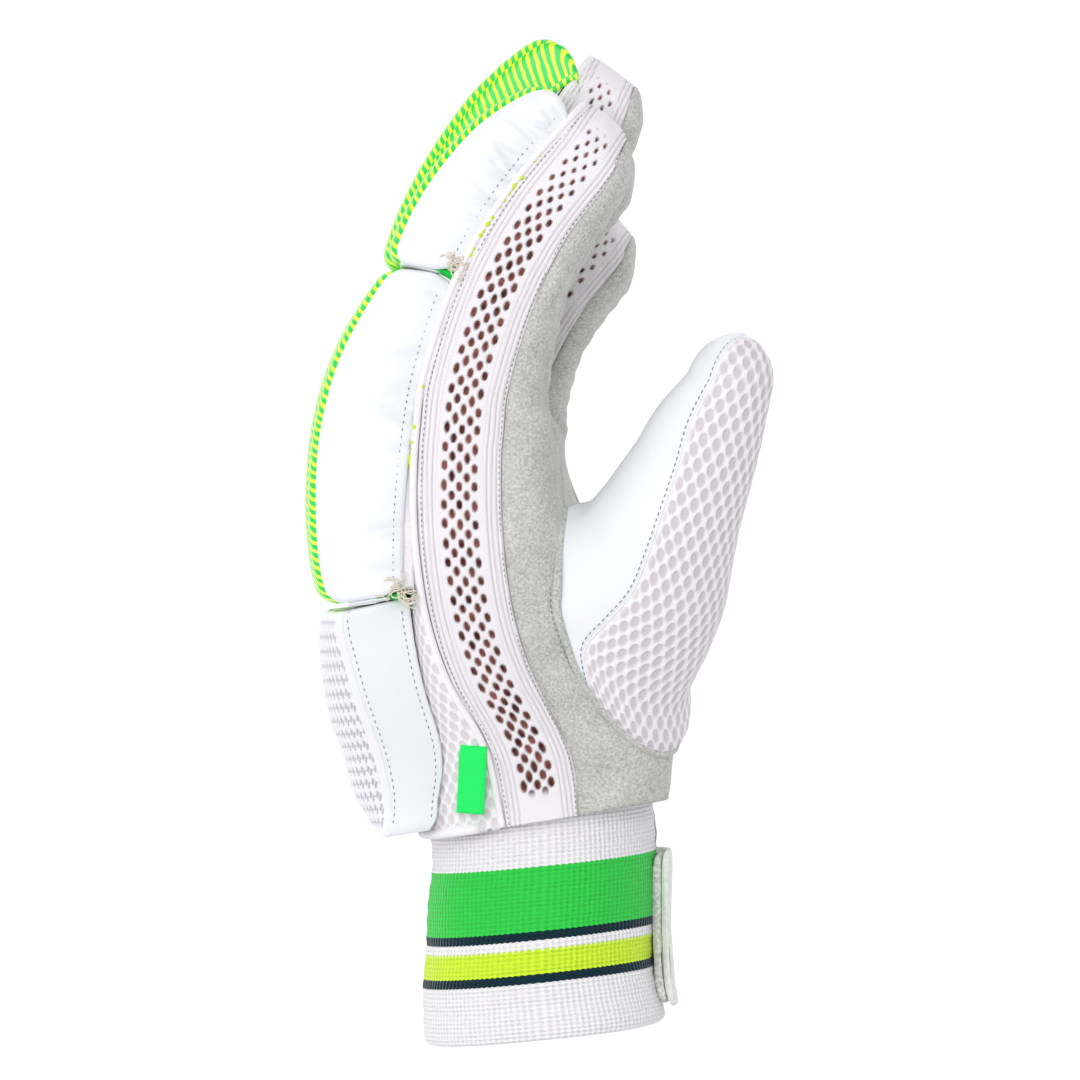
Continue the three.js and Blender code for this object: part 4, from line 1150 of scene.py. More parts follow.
class Maker:
    """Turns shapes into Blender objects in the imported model's place."""

    def __init__(self) -> None:
        """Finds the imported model's place."""
        self.shift = shift_to_frame()

    def piece(
        self,
        name: str,
        shape: Shape,
        look: Look,
        slot: str,
        replaces: tuple[str, ...] = (),
        wall: float = 0.0,
        weld: bool = False,
        padded: float | None = None,
    ) -> bpy.types.Object:
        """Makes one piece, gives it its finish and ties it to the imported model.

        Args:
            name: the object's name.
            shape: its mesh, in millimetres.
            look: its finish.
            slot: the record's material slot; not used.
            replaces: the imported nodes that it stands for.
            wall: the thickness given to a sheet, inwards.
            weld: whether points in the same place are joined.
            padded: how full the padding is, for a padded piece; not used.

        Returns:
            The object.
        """
        mesh = bpy.data.meshes.new(name)
        points = (shape.points + self.shift) * MM
        faces = [face for part in shape.faces for face in part.tolist()]
        mesh.from_pydata(points.tolist(), [], faces)
        loops = np.empty(len(mesh.loops), dtype=np.int32)
        mesh.loops.foreach_get("vertex_index", loops)
        layer = mesh.uv_layers.new(name="UVMap")
        layer.data.foreach_set("uv", shape.uv[loops].astype(np.float32).ravel())
        for value_name, values in shape.values.items():
            attribute = mesh.attributes.new(value_name, "FLOAT", "POINT")
            attribute.data.foreach_set("value", values.astype(np.float32))
        mesh.polygons.foreach_set("use_smooth", np.ones(len(mesh.polygons), dtype=bool))
        mesh.validate()
        made = bpy.data.objects.new(name, mesh)
        bpy.context.collection.objects.link(made)
        mesh.materials.append(look.material())
        if weld:
            joint = made.modifiers.new("Weld", "WELD")
            joint.merge_threshold = 0.00002
        if wall:
            solid = made.modifiers.new("Wall", "SOLIDIFY")
            solid.thickness, solid.offset = wall * MM, -1
            solid.use_rim = True
        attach(made, "root")
        if replaces:
            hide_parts(*replaces)
        LOG.info("%s: %d points", name, len(mesh.vertices))
        return made


def cells(u: Array, v: Array, across: float, along: float, half: tuple[float, float]) -> Array:
    """Staggered oval cells: 1 in a cell and 0 on the net between them.

    Two rectangular grids, one moved by half a step each way, and the distance to the nearest
    centre in half widths, eased over the cell's rim.

    Args:
        u: distances across.
        v: distances along.
        across: the step across.
        along: the step along.
        half: the cell's half widths across and along.

    Returns:
        The cell's share at each place.
    """
    best = np.full(np.broadcast(u, v).shape, 9.0)
    for offset in (0.0, 0.5):
        du = (u / across + offset + 0.5) % 1 - 0.5
        dv = (v / along + offset + 0.5) % 1 - 0.5
        best = np.minimum(best, (du * across / half[0]) ** 2 + (dv * along / half[1]) ** 2)
    return 1 - ease((np.sqrt(best) - 0.72) / 0.4)


def stitches(path: Array, up: Array, pitch: float, length: float, radius: float) -> Shape:
    """A row of short threads along a path, each an ellipsoid laid on the surface.

    Args:
        path: points along the seam.
        up: the surface's outward direction at each point.
        pitch: the distance from stitch to stitch.
        length: a stitch's length.
        radius: the thread's radius.

    Returns:
        All the threads as one shape.
    """
    steps = np.linalg.norm(np.diff(path, axis=0), axis=1)
    reach = np.concatenate([[0], np.cumsum(steps)])
    spots = np.arange(pitch / 2, reach[-1], pitch)
    if len(spots) == 0:
        spots = np.array([reach[-1] / 2])

    def read(line: Array, at: Array) -> Array:
        """Points of a line at some distances along the path."""
        return np.stack([np.interp(at, reach, line[:, k]) for k in range(3)], axis=-1)

    centre = read(path, spots)
    outward = unit(read(up, spots))
    forward = unit(read(path, spots + 0.3) - read(path, spots - 0.3))
    aside = unit(np.cross(outward, forward))
    outward = np.cross(forward, aside)
    rings, sides = 6, 6
    polar = np.linspace(0.12, math.pi - 0.12, rings)[:, None]
    turn = (np.arange(sides) * TAU / sides)[None, :]
    local = np.stack(
        [
            np.broadcast_to(np.cos(polar) * length / 2, (rings, sides)),
            np.sin(polar) * np.cos(turn) * radius,
            np.sin(polar) * np.sin(turn) * radius,
        ],
        axis=-1,
    ).reshape(-1, 3)
    points = (
        centre[:, None, :]
        + local[None, :, 0:1] * forward[:, None, :]
        + local[None, :, 1:2] * aside[:, None, :]
        + local[None, :, 2:3] * outward[:, None, :]
    )
    base = quads(rings, sides, loop=True)
    count, last = rings * sides, (rings - 1) * sides
    fan = range(1, sides - 1)
    caps = np.array([[0, k + 1, k] for k in fan] + [[last, last + k, last + k + 1] for k in fan])
    offsets = (np.arange(len(spots)) * count)[:, None, None]
    shape = Shape(
        points.reshape(-1, 3),
        [(base[None] + offsets).reshape(-1, 4), (caps[None] + offsets).reshape(-1, 3)],
        np.zeros((len(spots) * count, 2)),
    )
    return flipped(shape) if signed_volume(shape) < 0 else shape


def cord_of(path: Array, radius: Array | float, sides: int = 8, squash: float = 1.0) -> Shape:
    """A round cord along a path, in frames that turn as little as they can.

    Args:
        path: its points.
        radius: its radius, one for all points or one each.
        sides: how many points go round it.
        squash: its height over its width.

    Returns:
        The cord as a closed shape.
    """
    forward = unit(np.gradient(path, axis=0))
    aside = unit(np.cross(forward, np.array([0.13, 0.27, 1.0])))
    up = np.cross(aside, forward)
    turn = np.arange(sides) * TAU / sides
    radius = np.broadcast_to(np.asarray(radius, float), len(path))[:, None, None]
    wide, tall = np.cos(turn)[None, :, None], squash * np.sin(turn)[None, :, None]
    return tube(path[:, None, :] + radius * (wide * aside[:, None, :] + tall * up[:, None, :]))


@dataclass
class Rows:
    """How finely the sheets over the hand and the fingers are divided."""

    step: float = 1.5
    tip_rows: int = 12

    def of(self, finger: Finger, first: float = HEM) -> Array:
        """Distances along a finger, close together over its round end.

        Args:
            finger: the finger.
            first: the first distance.

        Returns:
            The distances.
        """
        straight = finger.tip - FINGERTIP_ROUND
        shaft = np.linspace(first, straight, int((straight - first) / self.step))
        bend = straight + FINGERTIP_ROUND * np.sin(TAU / 4 * np.linspace(0, 1, self.tip_rows + 1)[1:])
        return np.concatenate([shaft, bend])


@dataclass
class HandSheets:
    """The suede palm and the cloth backing, each one sheet that is slit between the fingers."""

    maker: Maker
    rows: Rows = field(default_factory=Rows)
    palm_columns: int = 26
    backing_columns: int = 18
    fine_columns: int = 96
    fine_step: float = 0.45
    cell_steps: tuple[float, float] = (3.4, 5.4)
    cell_half: tuple[float, float] = (1.1, 1.65)
    cell_depth: float = 0.45
    cells_end: float = 70.0

    def palm(self) -> None:
        """The palm, with soft wrinkles across the fingers' bends and at the crotch of the thumb."""
        parts = []
        for finger in FINGERS:
            along = self.rows.of(finger)[:, None]
            across = np.linspace(0, 1, self.palm_columns)[None, :]
            points = palm_point(finger, along, across)
            spot = finger.at(along)
            middle = place(spot, 0.35 * FINGER_DEPTH * np.ones_like(along), finger.z)
            out = unit(points - middle)
            room = np.sin(math.pi * across) * ease((finger.tip - along) / 8) * ease((along - HEM) / 12)
            if finger.number not in (0, 3):
                room = np.where(along < WEB, ease((along - HEM) / 12) + 0 * across, room)
            relief = 0.35 * ripples(points[..., 0], points[..., 1] + points[..., 2], 17.0, 5)
            folds = 0.18 * np.sin(TAU * along / 7.5 + 1.5 * np.sin(points[..., 2] / 5))
            relief = relief + folds * ease((along - WEB - 5) / 20)
            points = points + out * (relief * room)[..., None]
            uv = np.stack(np.broadcast_arrays(along, across * FINGER_WIDTH), axis=-1)
            parts.append(sheet(points, middle, uv))
        shape = Shape.joined(parts)
        self.maker.piece("suede_palm", shape, Look.SUEDE, "suede", ("palm",), wall=SUEDE_WALL, weld=True)

    def backing(self) -> None:
        """The backing: mesh whose cells show at the wrist, where it swells out under the block."""
        parts = []
        for finger in FINGERS:
            fine = finger is INDEX
            rows = Rows(self.fine_step) if fine else self.rows
            along = rows.of(finger)[:, None]
            across = np.linspace(0, 1, self.fine_columns if fine else self.backing_columns)[None, :]
            across = 1 - (1 - across) ** 2.3 if fine else across
            points = back_point(finger, along, across)
            spot = finger.at(along)
            height = HAND_MIDDLE if fine else finger.z
            middle = place(spot, 0.4 * FINGER_DEPTH * np.ones_like(along), height)
            reach = np.linalg.norm(np.diff(points, axis=1), axis=-1)
            u = np.concatenate([np.zeros((len(points), 1)), np.cumsum(reach, axis=1)], axis=1)
            mesh = cells(u - u[:, -1:], along + 0 * u, *self.cell_steps, self.cell_half) if fine else 0 * u
            mesh = mesh * (1 - ease((along - self.cells_end) / 12))
            points = points - unit(points - middle) * (self.cell_depth * mesh)[..., None]
            uv = np.stack(np.broadcast_arrays(along, u), axis=-1)
            parts.append(sheet(points, middle, uv, {"hole": 0.75 * mesh}))
        shape = Shape.joined(parts)
        self.maker.piece("mesh_backing", shape, Look.MESH, "mesh", ("backing",), wall=BACKING_WALL, weld=True)


@dataclass
class KnitWall:
    """A knit wall between the back and the palm, from a start on one side and round the tip.

    Its distances run along the wall; its holes stand in staggered columns along its middle.
    """

    finger: Finger
    side: int
    start: float
    bulge: float
    both_sides: bool = False
    step: float = 0.42
    columns: int = 62
    ridge_pitch: float = 1.3
    hole_pitch: float = 5.0
    hole_step: float = 2.05
    hole_half: tuple[float, float] = (1.42, 0.84)
    hole_depth: float = 0.75

    def stations(self) -> tuple[Array, Array, Array]:
        """The distance, the angle about the fingertip and the side of each row of points.

        Returns:
            The three numbers of each row.
        """
        straight = self.finger.tip - FINGERTIP_ROUND
        along = np.arange(self.start, straight, self.step)
        bend = np.linspace(0, TAU / 4, int(1.5 * FINGERTIP_ROUND / self.step))
        full_along = np.concatenate([along, np.full(len(bend), straight)])
        full_angle = np.concatenate([np.zeros(len(along)), bend])
        side = np.full(len(full_along), self.side)
        if not self.both_sides:
            return full_along, full_angle, side
        return (
            np.concatenate([full_along, full_along[::-1][1:]]),
            np.concatenate([full_angle, full_angle[::-1][1:]]),
            np.concatenate([side, -side[1:]]),
        )

    def edges(self) -> tuple[Frame, Array, Array, Array, Array]:
        """The frames, the heights, the ways out of the wall and the depths of its two edges.

        Returns:
            Each of them, row by row.
        """
        along, angle, side = self.stations()
        s = along + FINGERTIP_ROUND * np.sin(angle)
        spot = self.finger.at(s)
        half = FINGER_WIDTH / 2
        out = np.zeros((len(s), 3))
        out[:, 2] = side * np.cos(angle) / half
        out[:, :2] = spot.forward * (np.sin(angle) / FINGERTIP_ROUND)[:, None]
        across = (side + 1) / 2
        edge = palm_point(self.finger, along, across)
        straight = angle == 0
        z = np.where(straight, edge[:, 2], self.finger.z + side * half * np.cos(angle))
        seam = np.where(straight, depth_in(spot, edge), self.finger.read("seam", s))
        back = np.where(straight, depth_in(spot, back_point(self.finger, along, across)), 0.0)
        return spot, z, unit(out), back + 0.9, seam

    def shape(self) -> Shape:
        """The wall: swollen along its middle, ridged near both edges, with sunk holes between.

        Returns:
            The sheet, with its holes and grooves.
        """
        along, angle, _ = self.stations()
        spot, z, out, back, seam = self.edges()
        c = np.linspace(0, 1, self.columns)[None, :]
        width = (seam - back)[:, None]
        line = place(spot, mix(back, seam, 0.5), z)
        s = np.concatenate([[0], np.cumsum(np.linalg.norm(np.diff(line, axis=0), axis=1))])[:, None]
        y = (c - 0.5) * width
        last = s[-1, 0] if not self.both_sides else s[-1, 0] / 2
        from_tip = np.abs(last - s)
        hole = self.holes(s, y, width, from_tip)
        ribbed = ease((np.abs(c - 0.5) - 0.25) / 0.05)
        wave = np.cos(TAU * y / self.ridge_pitch)
        swell = self.bulge * (1 - (2 * c - 1) ** 2)
        rim = -0.5 * ease((np.abs(2 * c - 1) - 0.93) / 0.07)
        uneven = 0.12 * ripples(s, y, 9.0, 11)
        relief = swell + 0.19 * ribbed * wave - self.hole_depth * hole + rim + uneven
        rows = Frame(*(part[:, None] for part in spot))
        points = place(rows, mix(back[:, None], seam[:, None], c), z[:, None])
        points = points + out[:, None, :] * relief[..., None]
        inside = place(rows, 0.4 * FINGER_DEPTH + 0 * c, self.finger.z) - out[:, None, :] * 5
        # Painted shade: the grooves between the ridges near both edges are marked for darkening.
        shade = 0.55 * ribbed * ease(-wave - 0.2) + 0 * s
        uv = np.stack(np.broadcast_arrays(s, y), axis=-1)
        return sheet(points, inside, uv, {"hole": hole, "shade": shade})

    def holes(self, s: Array, y: Array, width: Array, from_tip: Array) -> Array:
        """Holes in five staggered columns, smaller towards the fingertip.

        Args:
            s: distances along the wall.
            y: distances from its middle line.
            width: its width.
            from_tip: distances from the fingertip.

        Returns:
            1 in a hole and 0 on the cloth, eased over the hole's rim.
        """
        size = mix(0.55, 1.0, ease((from_tip - 12) / 45)) * mix(1.0, 1.12, ease((150 - s) / 40 - 2.5))
        scale = np.clip(width / 23.0, 0.62, 1.12)
        mask = np.zeros(np.broadcast(s, y).shape)
        for column in range(5):
            centre = (column - 2) * self.hole_step * scale
            half_pitch = self.hole_pitch / 2
            ds = (s + half_pitch * (column % 2) + half_pitch) % self.hole_pitch - half_pitch
            wobble = 1 + 0.16 * np.sin(s * 1.7 + column * 2.1)
            long, wide = self.hole_half[0] * size * wobble, self.hole_half[1] * size
            r = np.sqrt((ds / long) ** 2 + ((y - centre) / wide) ** 2)
            mask = np.maximum(mask, 1 - ease((r - 0.75) / 0.4))
        return mask * ease((from_tip - 11) / 2) * ease((s - (6 if self.start < 0 else -3)) / 3)

    def seam_path(self, edge: float, lift: float) -> tuple[Array, Array]:
        """A line along the wall, and the ways out of it.

        Args:
            edge: the line's place as a share of the wall's width.
            lift: how far it stands off the wall.

        Returns:
            The line's points and its outward directions.
        """
        spot, z, out, back, seam = self.edges()
        swell = self.bulge * (1 - (2 * edge - 1) ** 2)
        return place(spot, mix(back, seam, edge), z) + out * (swell + lift), out


@dataclass
class Roll:
    """A padded finger roll: a leather-covered foam bar with a printed front.

    Its section is a rounded rectangle that stands on the back of the finger. Its height follows
    a table along the finger, its ends round off, and its front leans back towards the cuff.
    """

    finger: Finger
    upper: bool
    corner: float = 2.2
    end_round: float = 3.6
    side_points: int = 20
    corner_points: int = 6
    top_points: int = 14
    foot_points: int = 10
    side_round: float = 1.4
    stitch_height: float = 2.6

    @property
    def ends(self) -> tuple[float, float]:
        """The distances at which it starts and ends.

        Returns:
            The two distances.
        """
        split = self.finger.split * HAND_LENGTH
        if self.upper:
            return split + ROLL_SPLIT / 2, self.finger.tip - self.finger.bare * FINGERTIP_ROUND
        return self.finger.first * HAND_LENGTH + ROLL_SPLIT / 2, split - ROLL_SPLIT / 2

    @property
    def lean(self) -> tuple[float, float]:
        """How far its front drops back at its two ends."""
        return (4.0, 0.0) if self.upper else (2.5, 4.0)

    def height(self, along: Array) -> Array:
        """The height of its side.

        Args:
            along: distances.

        Returns:
            The heights.
        """
        first, last = self.ends
        table = UPPER_ROLL if self.upper else LOWER_ROLL
        return table.read("height", (along - first) / (last - first)) * ROLL_HEIGHT * self.finger.pad

    def base(self, along: Array) -> Array:
        """The depth at which it stands.

        Args:
            along: distances.

        Returns:
            The depths.
        """
        straight = np.minimum(along, self.finger.tip - FINGERTIP_ROUND)
        lowest = depth_in(self.finger.at(along), back_point(self.finger, straight, np.full_like(along, 0.5)))
        return np.minimum(lowest, 0) - 0.4

    def section(self) -> tuple[Array, Array, Array, Array]:
        """The rounded rectangle's points: up one side, over the front, down and back along the foot.

        Returns:
            Each point's place across as shares of the half width and of the corner's radius, and
            its height as shares of the full height and of the corner's radius.
        """
        sides = np.linspace(0, 1, self.side_points)
        turn = TAU / 4 * np.linspace(0, 1, self.corner_points + 2)[1:-1]
        tops = np.linspace(1, -1, self.top_points)
        foot = np.linspace(-0.9, 0.9, self.foot_points)
        flat, bend, level = np.ones(len(sides)), np.ones(len(turn)), np.ones(len(tops))
        in_cosine, in_sine = np.cos(turn) - 1, np.sin(turn) - 1
        return (
            np.concatenate([flat, bend, tops, -bend, -flat, foot]),
            np.concatenate([0 * sides, in_cosine, -tops, -in_cosine[::-1], 0 * sides, 0 * foot]),
            np.concatenate([sides, bend, level, bend, sides[::-1], 0 * foot]),
            np.concatenate([-sides, in_sine, 0 * tops, in_sine[::-1], -sides[::-1], 0 * foot]),
        )

    def gathers(self, along: Array, h: Array) -> Array:
        """Short creases that run up from the seam at its foot: narrow bells that fade with height.

        Args:
            along: distances along the roll.
            h: heights above its foot.

        Returns:
            How far each place stands in, as a number less than zero.
        """
        first, last = self.ends
        rng = np.random.default_rng(20 + self.finger.number * 2 + self.upper)
        spots = (0.42, 0.55, 0.8, 0.93) if self.upper else (0.1, 0.52, 0.66, 0.93)
        total = np.zeros(np.broadcast(along, h).shape)
        for spot in spots:
            middle = mix(first, last, spot)
            for shift, wide, deep, tall, tilt in zip(
                rng.normal(0, 6.0, 7),
                rng.uniform(0.45, 1.2, 7),
                rng.uniform(0.35, 0.9, 7),
                rng.uniform(3.0, 9.0, 7),
                rng.uniform(-0.5, 0.5, 7),
            ):
                away = (along - middle - shift - tilt * h) / wide
                total -= deep * np.exp(-(away**2)) * np.exp(-((h / tall) ** 1.5))
        return total

    def swell(self, h: Array, tall: Array) -> Array:
        """How far the near side of the index finger's rolls bellies out: half a sine wave."""
        return 1.2 * np.sin(math.pi * np.clip(h / tall, 0, 1)) ** 0.7

    def place_at(self, along: Array, z: Array, h: Array, tall: Array) -> Array:
        """Points at heights above the roll's foot, leaning back in share with their height.

        Args:
            along: distances along the finger.
            z: heights off the floor.
            h: heights above the foot.
            tall: the roll's full height there.

        Returns:
            The points.
        """
        first, last = self.ends
        t = (along - first) / (last - first)
        open_foot = 2.6 * np.maximum(0, 1 - h / 6.5) ** 2
        pull = mix(open_foot, -open_foot, t) * ease((np.abs(2 * t - 1) - 0.8) / 0.2)
        leaned = along - mix(self.lean[0], self.lean[1], t) * h / np.maximum(tall, 1) + pull
        return place(self.finger.at(leaned), self.base(along) - h, z)

    def body(self) -> Shape:
        """The white leather cover.

        Returns:
            The cover, closed.
        """
        along = crowded(self.ends, self.end_round, 76, 9)[:, None]
        half, z_radius, tall, h_radius = self.section()
        full = self.height(along)
        top = full - 0.5 - rounded_off(along, self.ends, self.end_round) * 0.9
        w = FINGER_WIDTH / 2 - rounded_off(along, self.ends, self.side_round) * 0.8
        h = tall * top + h_radius * self.corner
        z = half * w + z_radius * self.corner
        on_top = (np.abs(half) < 0.999) & (tall > 0.5)
        h = h + np.where(on_top, 0.6 * FACE_CROWN * (1 - np.abs(half) ** 2.4), 0)
        is_side = (np.abs(half) > 0.999) & (tall <= 1)
        outer = self.finger is INDEX
        swell = self.swell(h, full) * (half > 0) * is_side
        crease = self.gathers(along, np.maximum(h, 0)) * is_side
        crease = crease + 0.16 * ripples(along, h, 22.0, 3 + self.finger.number) * is_side
        z = z + np.where(outer & (half > 0), swell + crease, 0.3 * crease * np.sign(half))
        points = self.place_at(along, self.finger.z + z, h, full)
        uv = np.stack(np.broadcast_arrays(along, h + z), axis=-1)
        return tube(points, uv)

    def face(self) -> Shape:
        """The printed front: a crowned pad whose borders turn down to the seams.

        Returns:
            The front, closed.
        """
        along = crowded(self.ends, self.end_round, 90, 9)[:, None]
        across = np.linspace(0.05, 0.95, 28)
        w = FINGER_WIDTH / 2 - 0.7 - rounded_off(along, self.ends, self.side_round) * 0.8
        side = across * 2 - 1
        crown = FACE_CROWN * (1 - np.abs(side) ** 2.4)
        border = ease((np.abs(side) - 0.8) / 0.1)
        full = self.height(along)
        top = full + crown - border - rounded_off(along, self.ends, self.end_round)
        z = side / 0.9 * w
        drop = np.linspace(1.5, self.skirt, 14) if self.skirt else np.zeros(0)
        hem_z = (w + 0.95) * np.ones(len(drop))
        hem_top = top[:, -1:] - drop
        ring_z = np.hstack([z, hem_z, hem_z[:, ::-1] - 0.3, z[:, ::-1]])
        ring_top = np.hstack([top, hem_top, hem_top[:, ::-1], (top - 1.6)[:, ::-1]])
        points = self.place_at(along, self.finger.z + ring_z, ring_top, full)
        plan = np.hstack([z, hem_z + drop])
        uv = np.stack(np.broadcast_arrays(along, np.hstack([plan, plan[:, ::-1]])), axis=-1)
        return tube(points, uv)

    @property
    def skirt(self) -> float:
        """How far the print wraps down the near side, as it does on the middle fingertip's roll."""
        return 14.5 if self.upper and self.finger is MIDDLE else 0.0

    def foot_stitches(self, side: int) -> tuple[Array, Array]:
        """The line of the stitches above the foot of one side, and the way out of it.

        Args:
            side: 1 for the upper side, -1 for the lower.

        Returns:
            The line's points and its outward directions.
        """
        first, last = self.ends
        along = np.linspace(first + 3, last - 4, 90)
        height = np.full_like(along, self.stitch_height)
        full = self.height(along)
        z = self.finger.z + side * (FINGER_WIDTH / 2 + self.swell(height, full) + self.gathers(along, height))
        out = np.zeros((len(along), 3))
        out[:, 2] = side
        return self.place_at(along, z, height, full), out


@dataclass
class BackBlock:
    """The padded block over the back of the hand: plain white sides and an embossed front."""

    end_round: float = 2.6
    lozenge: float = 3.7
    emboss_height: float = 0.3
    side_points: int = 26
    front_points: int = 30
    foot_points: int = 16

    @property
    def ends(self) -> tuple[float, float]:
        """The distances at which it starts and ends."""
        return -0.01 * HAND_LENGTH, 0.29 * HAND_LENGTH

    def top(self, along: Array, across: Array) -> Array:
        """The front's height: from its middle to its edges by a curve of power 2.2.

        Args:
            along: distances.
            across: shares of the half width.

        Returns:
            The heights.
        """
        at = along / HAND_LENGTH
        middle = BLOCK_SECTIONS.read("middle", at) * BLOCK_HEIGHT
        edge = BLOCK_SECTIONS.read("edge", at) * BLOCK_HEIGHT
        return mix(middle, edge, np.abs(across) ** 2.2)

    def rounded(self, along: Array) -> Array:
        """How much the ends round off."""
        return rounded_off(along, self.ends, self.end_round)

    def side_z(self, along: Array, across: Array | float, out: Array | float) -> Array:
        """Heights off the floor at a share of the block's half width, moved outwards by a length."""
        return HAND_MIDDLE + across * BLOCK_SHARE * half_width(along) + np.sign(across) * out

    def spot(self, along: Array, lean: Array | float) -> Frame:
        """The hand's frame, leaned back by a share of the block's height."""
        return HAND.at(along - BLOCK_LEAN * BLOCK_HEIGHT * ease(along / self.ends[1]) * lean)

    def foot(self, along: Array, across: Array) -> Array:
        """The depth of its underside, on the backing.

        Args:
            along: distances.
            across: shares of the half width.

        Returns:
            The depths.
        """
        reach = across * BLOCK_SHARE
        lift = CLEARANCE + BLOCK_SECTIONS.read("lift", along / HAND_LENGTH) * BLOCK_HEIGHT
        rise = knuckle_rise(HAND_MIDDLE + reach * half_width(along)) * ease(along / WEB)
        return back_depth(along, reach) + rise - lift

    def body(self) -> Shape:
        """The white sides and ends: walls that swell a little, up to the front's border.

        Returns:
            The cover, closed.
        """
        along = crowded(self.ends, self.end_round, 80, 8)[:, None]
        up = np.linspace(0, 1, self.side_points)
        front = np.linspace(0.97, -0.97, self.front_points)
        under = np.linspace(-0.95, 0.95, self.foot_points)
        across = np.concatenate([0 * up + 1, front, 0 * up - 1, under])
        rise = np.concatenate([up, 0 * front + 1, up[::-1], 0 * under])
        foot = self.foot(along, across)
        top = -self.top(along, across) + 1.0 + self.rounded(along) * 0.8
        depth = mix(foot, top, rise)
        is_side = (np.abs(across) == 1.0) * np.ones_like(depth)
        swell = 0.7 * np.sin(math.pi * rise) * is_side - 0.9 * ease((rise - 0.93) / 0.07) * is_side
        crease = 0.22 * ripples(along, rise * 15, 19.0, 8) * is_side
        z = self.side_z(along, across, swell + crease - self.rounded(along) * 0.3 * is_side)
        points = place(self.spot(along + 0 * rise, rise), depth, z)
        uv = np.stack(np.broadcast_arrays(along, depth), axis=-1)
        return tube(points, uv)

    def face(self) -> Shape:
        """The front, with a raised pattern of wavy lozenges: two crossed sines, bent by a third.

        Returns:
            The sheet, with its grooves.
        """
        along = np.linspace(*self.ends, 190)[:, None]
        across = np.linspace(-1, 1, 250)[None, :]
        u = along + 0 * across
        v = across * BLOCK_SHARE * half_width(along)
        a = TAU * (u / self.lozenge + 0.22 * np.sin(TAU * v / self.lozenge))
        b = TAU * (v / self.lozenge + 0.22 * np.sin(TAU * u / self.lozenge))
        emboss = self.emboss_height * np.tanh(2.2 * np.sin(a) * np.sin(b))
        border = 1 - ease((np.abs(across) - 0.93) / 0.04)
        ends = ease((along - self.ends[0] - 1.5) / 2) * ease((self.ends[1] - along - 1.5) / 2)
        roll = 1.3 * ease((np.abs(across) - 0.96) / 0.04) + self.rounded(along) * 0.7
        depth = -self.top(along, across) - emboss * border * ends + roll
        points = place(self.spot(along + 0 * across, 1.0), depth, HAND_MIDDLE + v)
        inside = place(HAND.at(along), 5.0 + 0 * along, HAND_MIDDLE)
        uv = np.stack([u, v], axis=-1)
        # Painted shade: the lower the emboss, the more the groove colour darkens it.
        groove_shade = ease((0.12 - emboss) / 0.4) * border * ends
        return sheet(points, inside, uv, {"shade": groove_shade})

    def line(self, across: float, rise: float) -> tuple[Array, Array]:
        """A line along one side, and the way out of it.

        Args:
            across: the side, as a share of the half width.
            rise: the line's share of the side's height.

        Returns:
            The line's points and its outward directions.
        """
        along = np.linspace(self.ends[0] + 3, self.ends[1] - 3, 120)
        side = np.full_like(along, across)
        depth = mix(self.foot(along, side), 1.0 - self.top(along, side), rise)
        swell = 0.7 * math.sin(math.pi * rise) + 0.22 * ripples(along, 0 * along + rise * 15, 19.0, 8)
        out = np.zeros((len(along), 3))
        out[:, 2] = np.sign(across)
        return place(self.spot(along, rise), depth, self.side_z(along, across, swell)), out


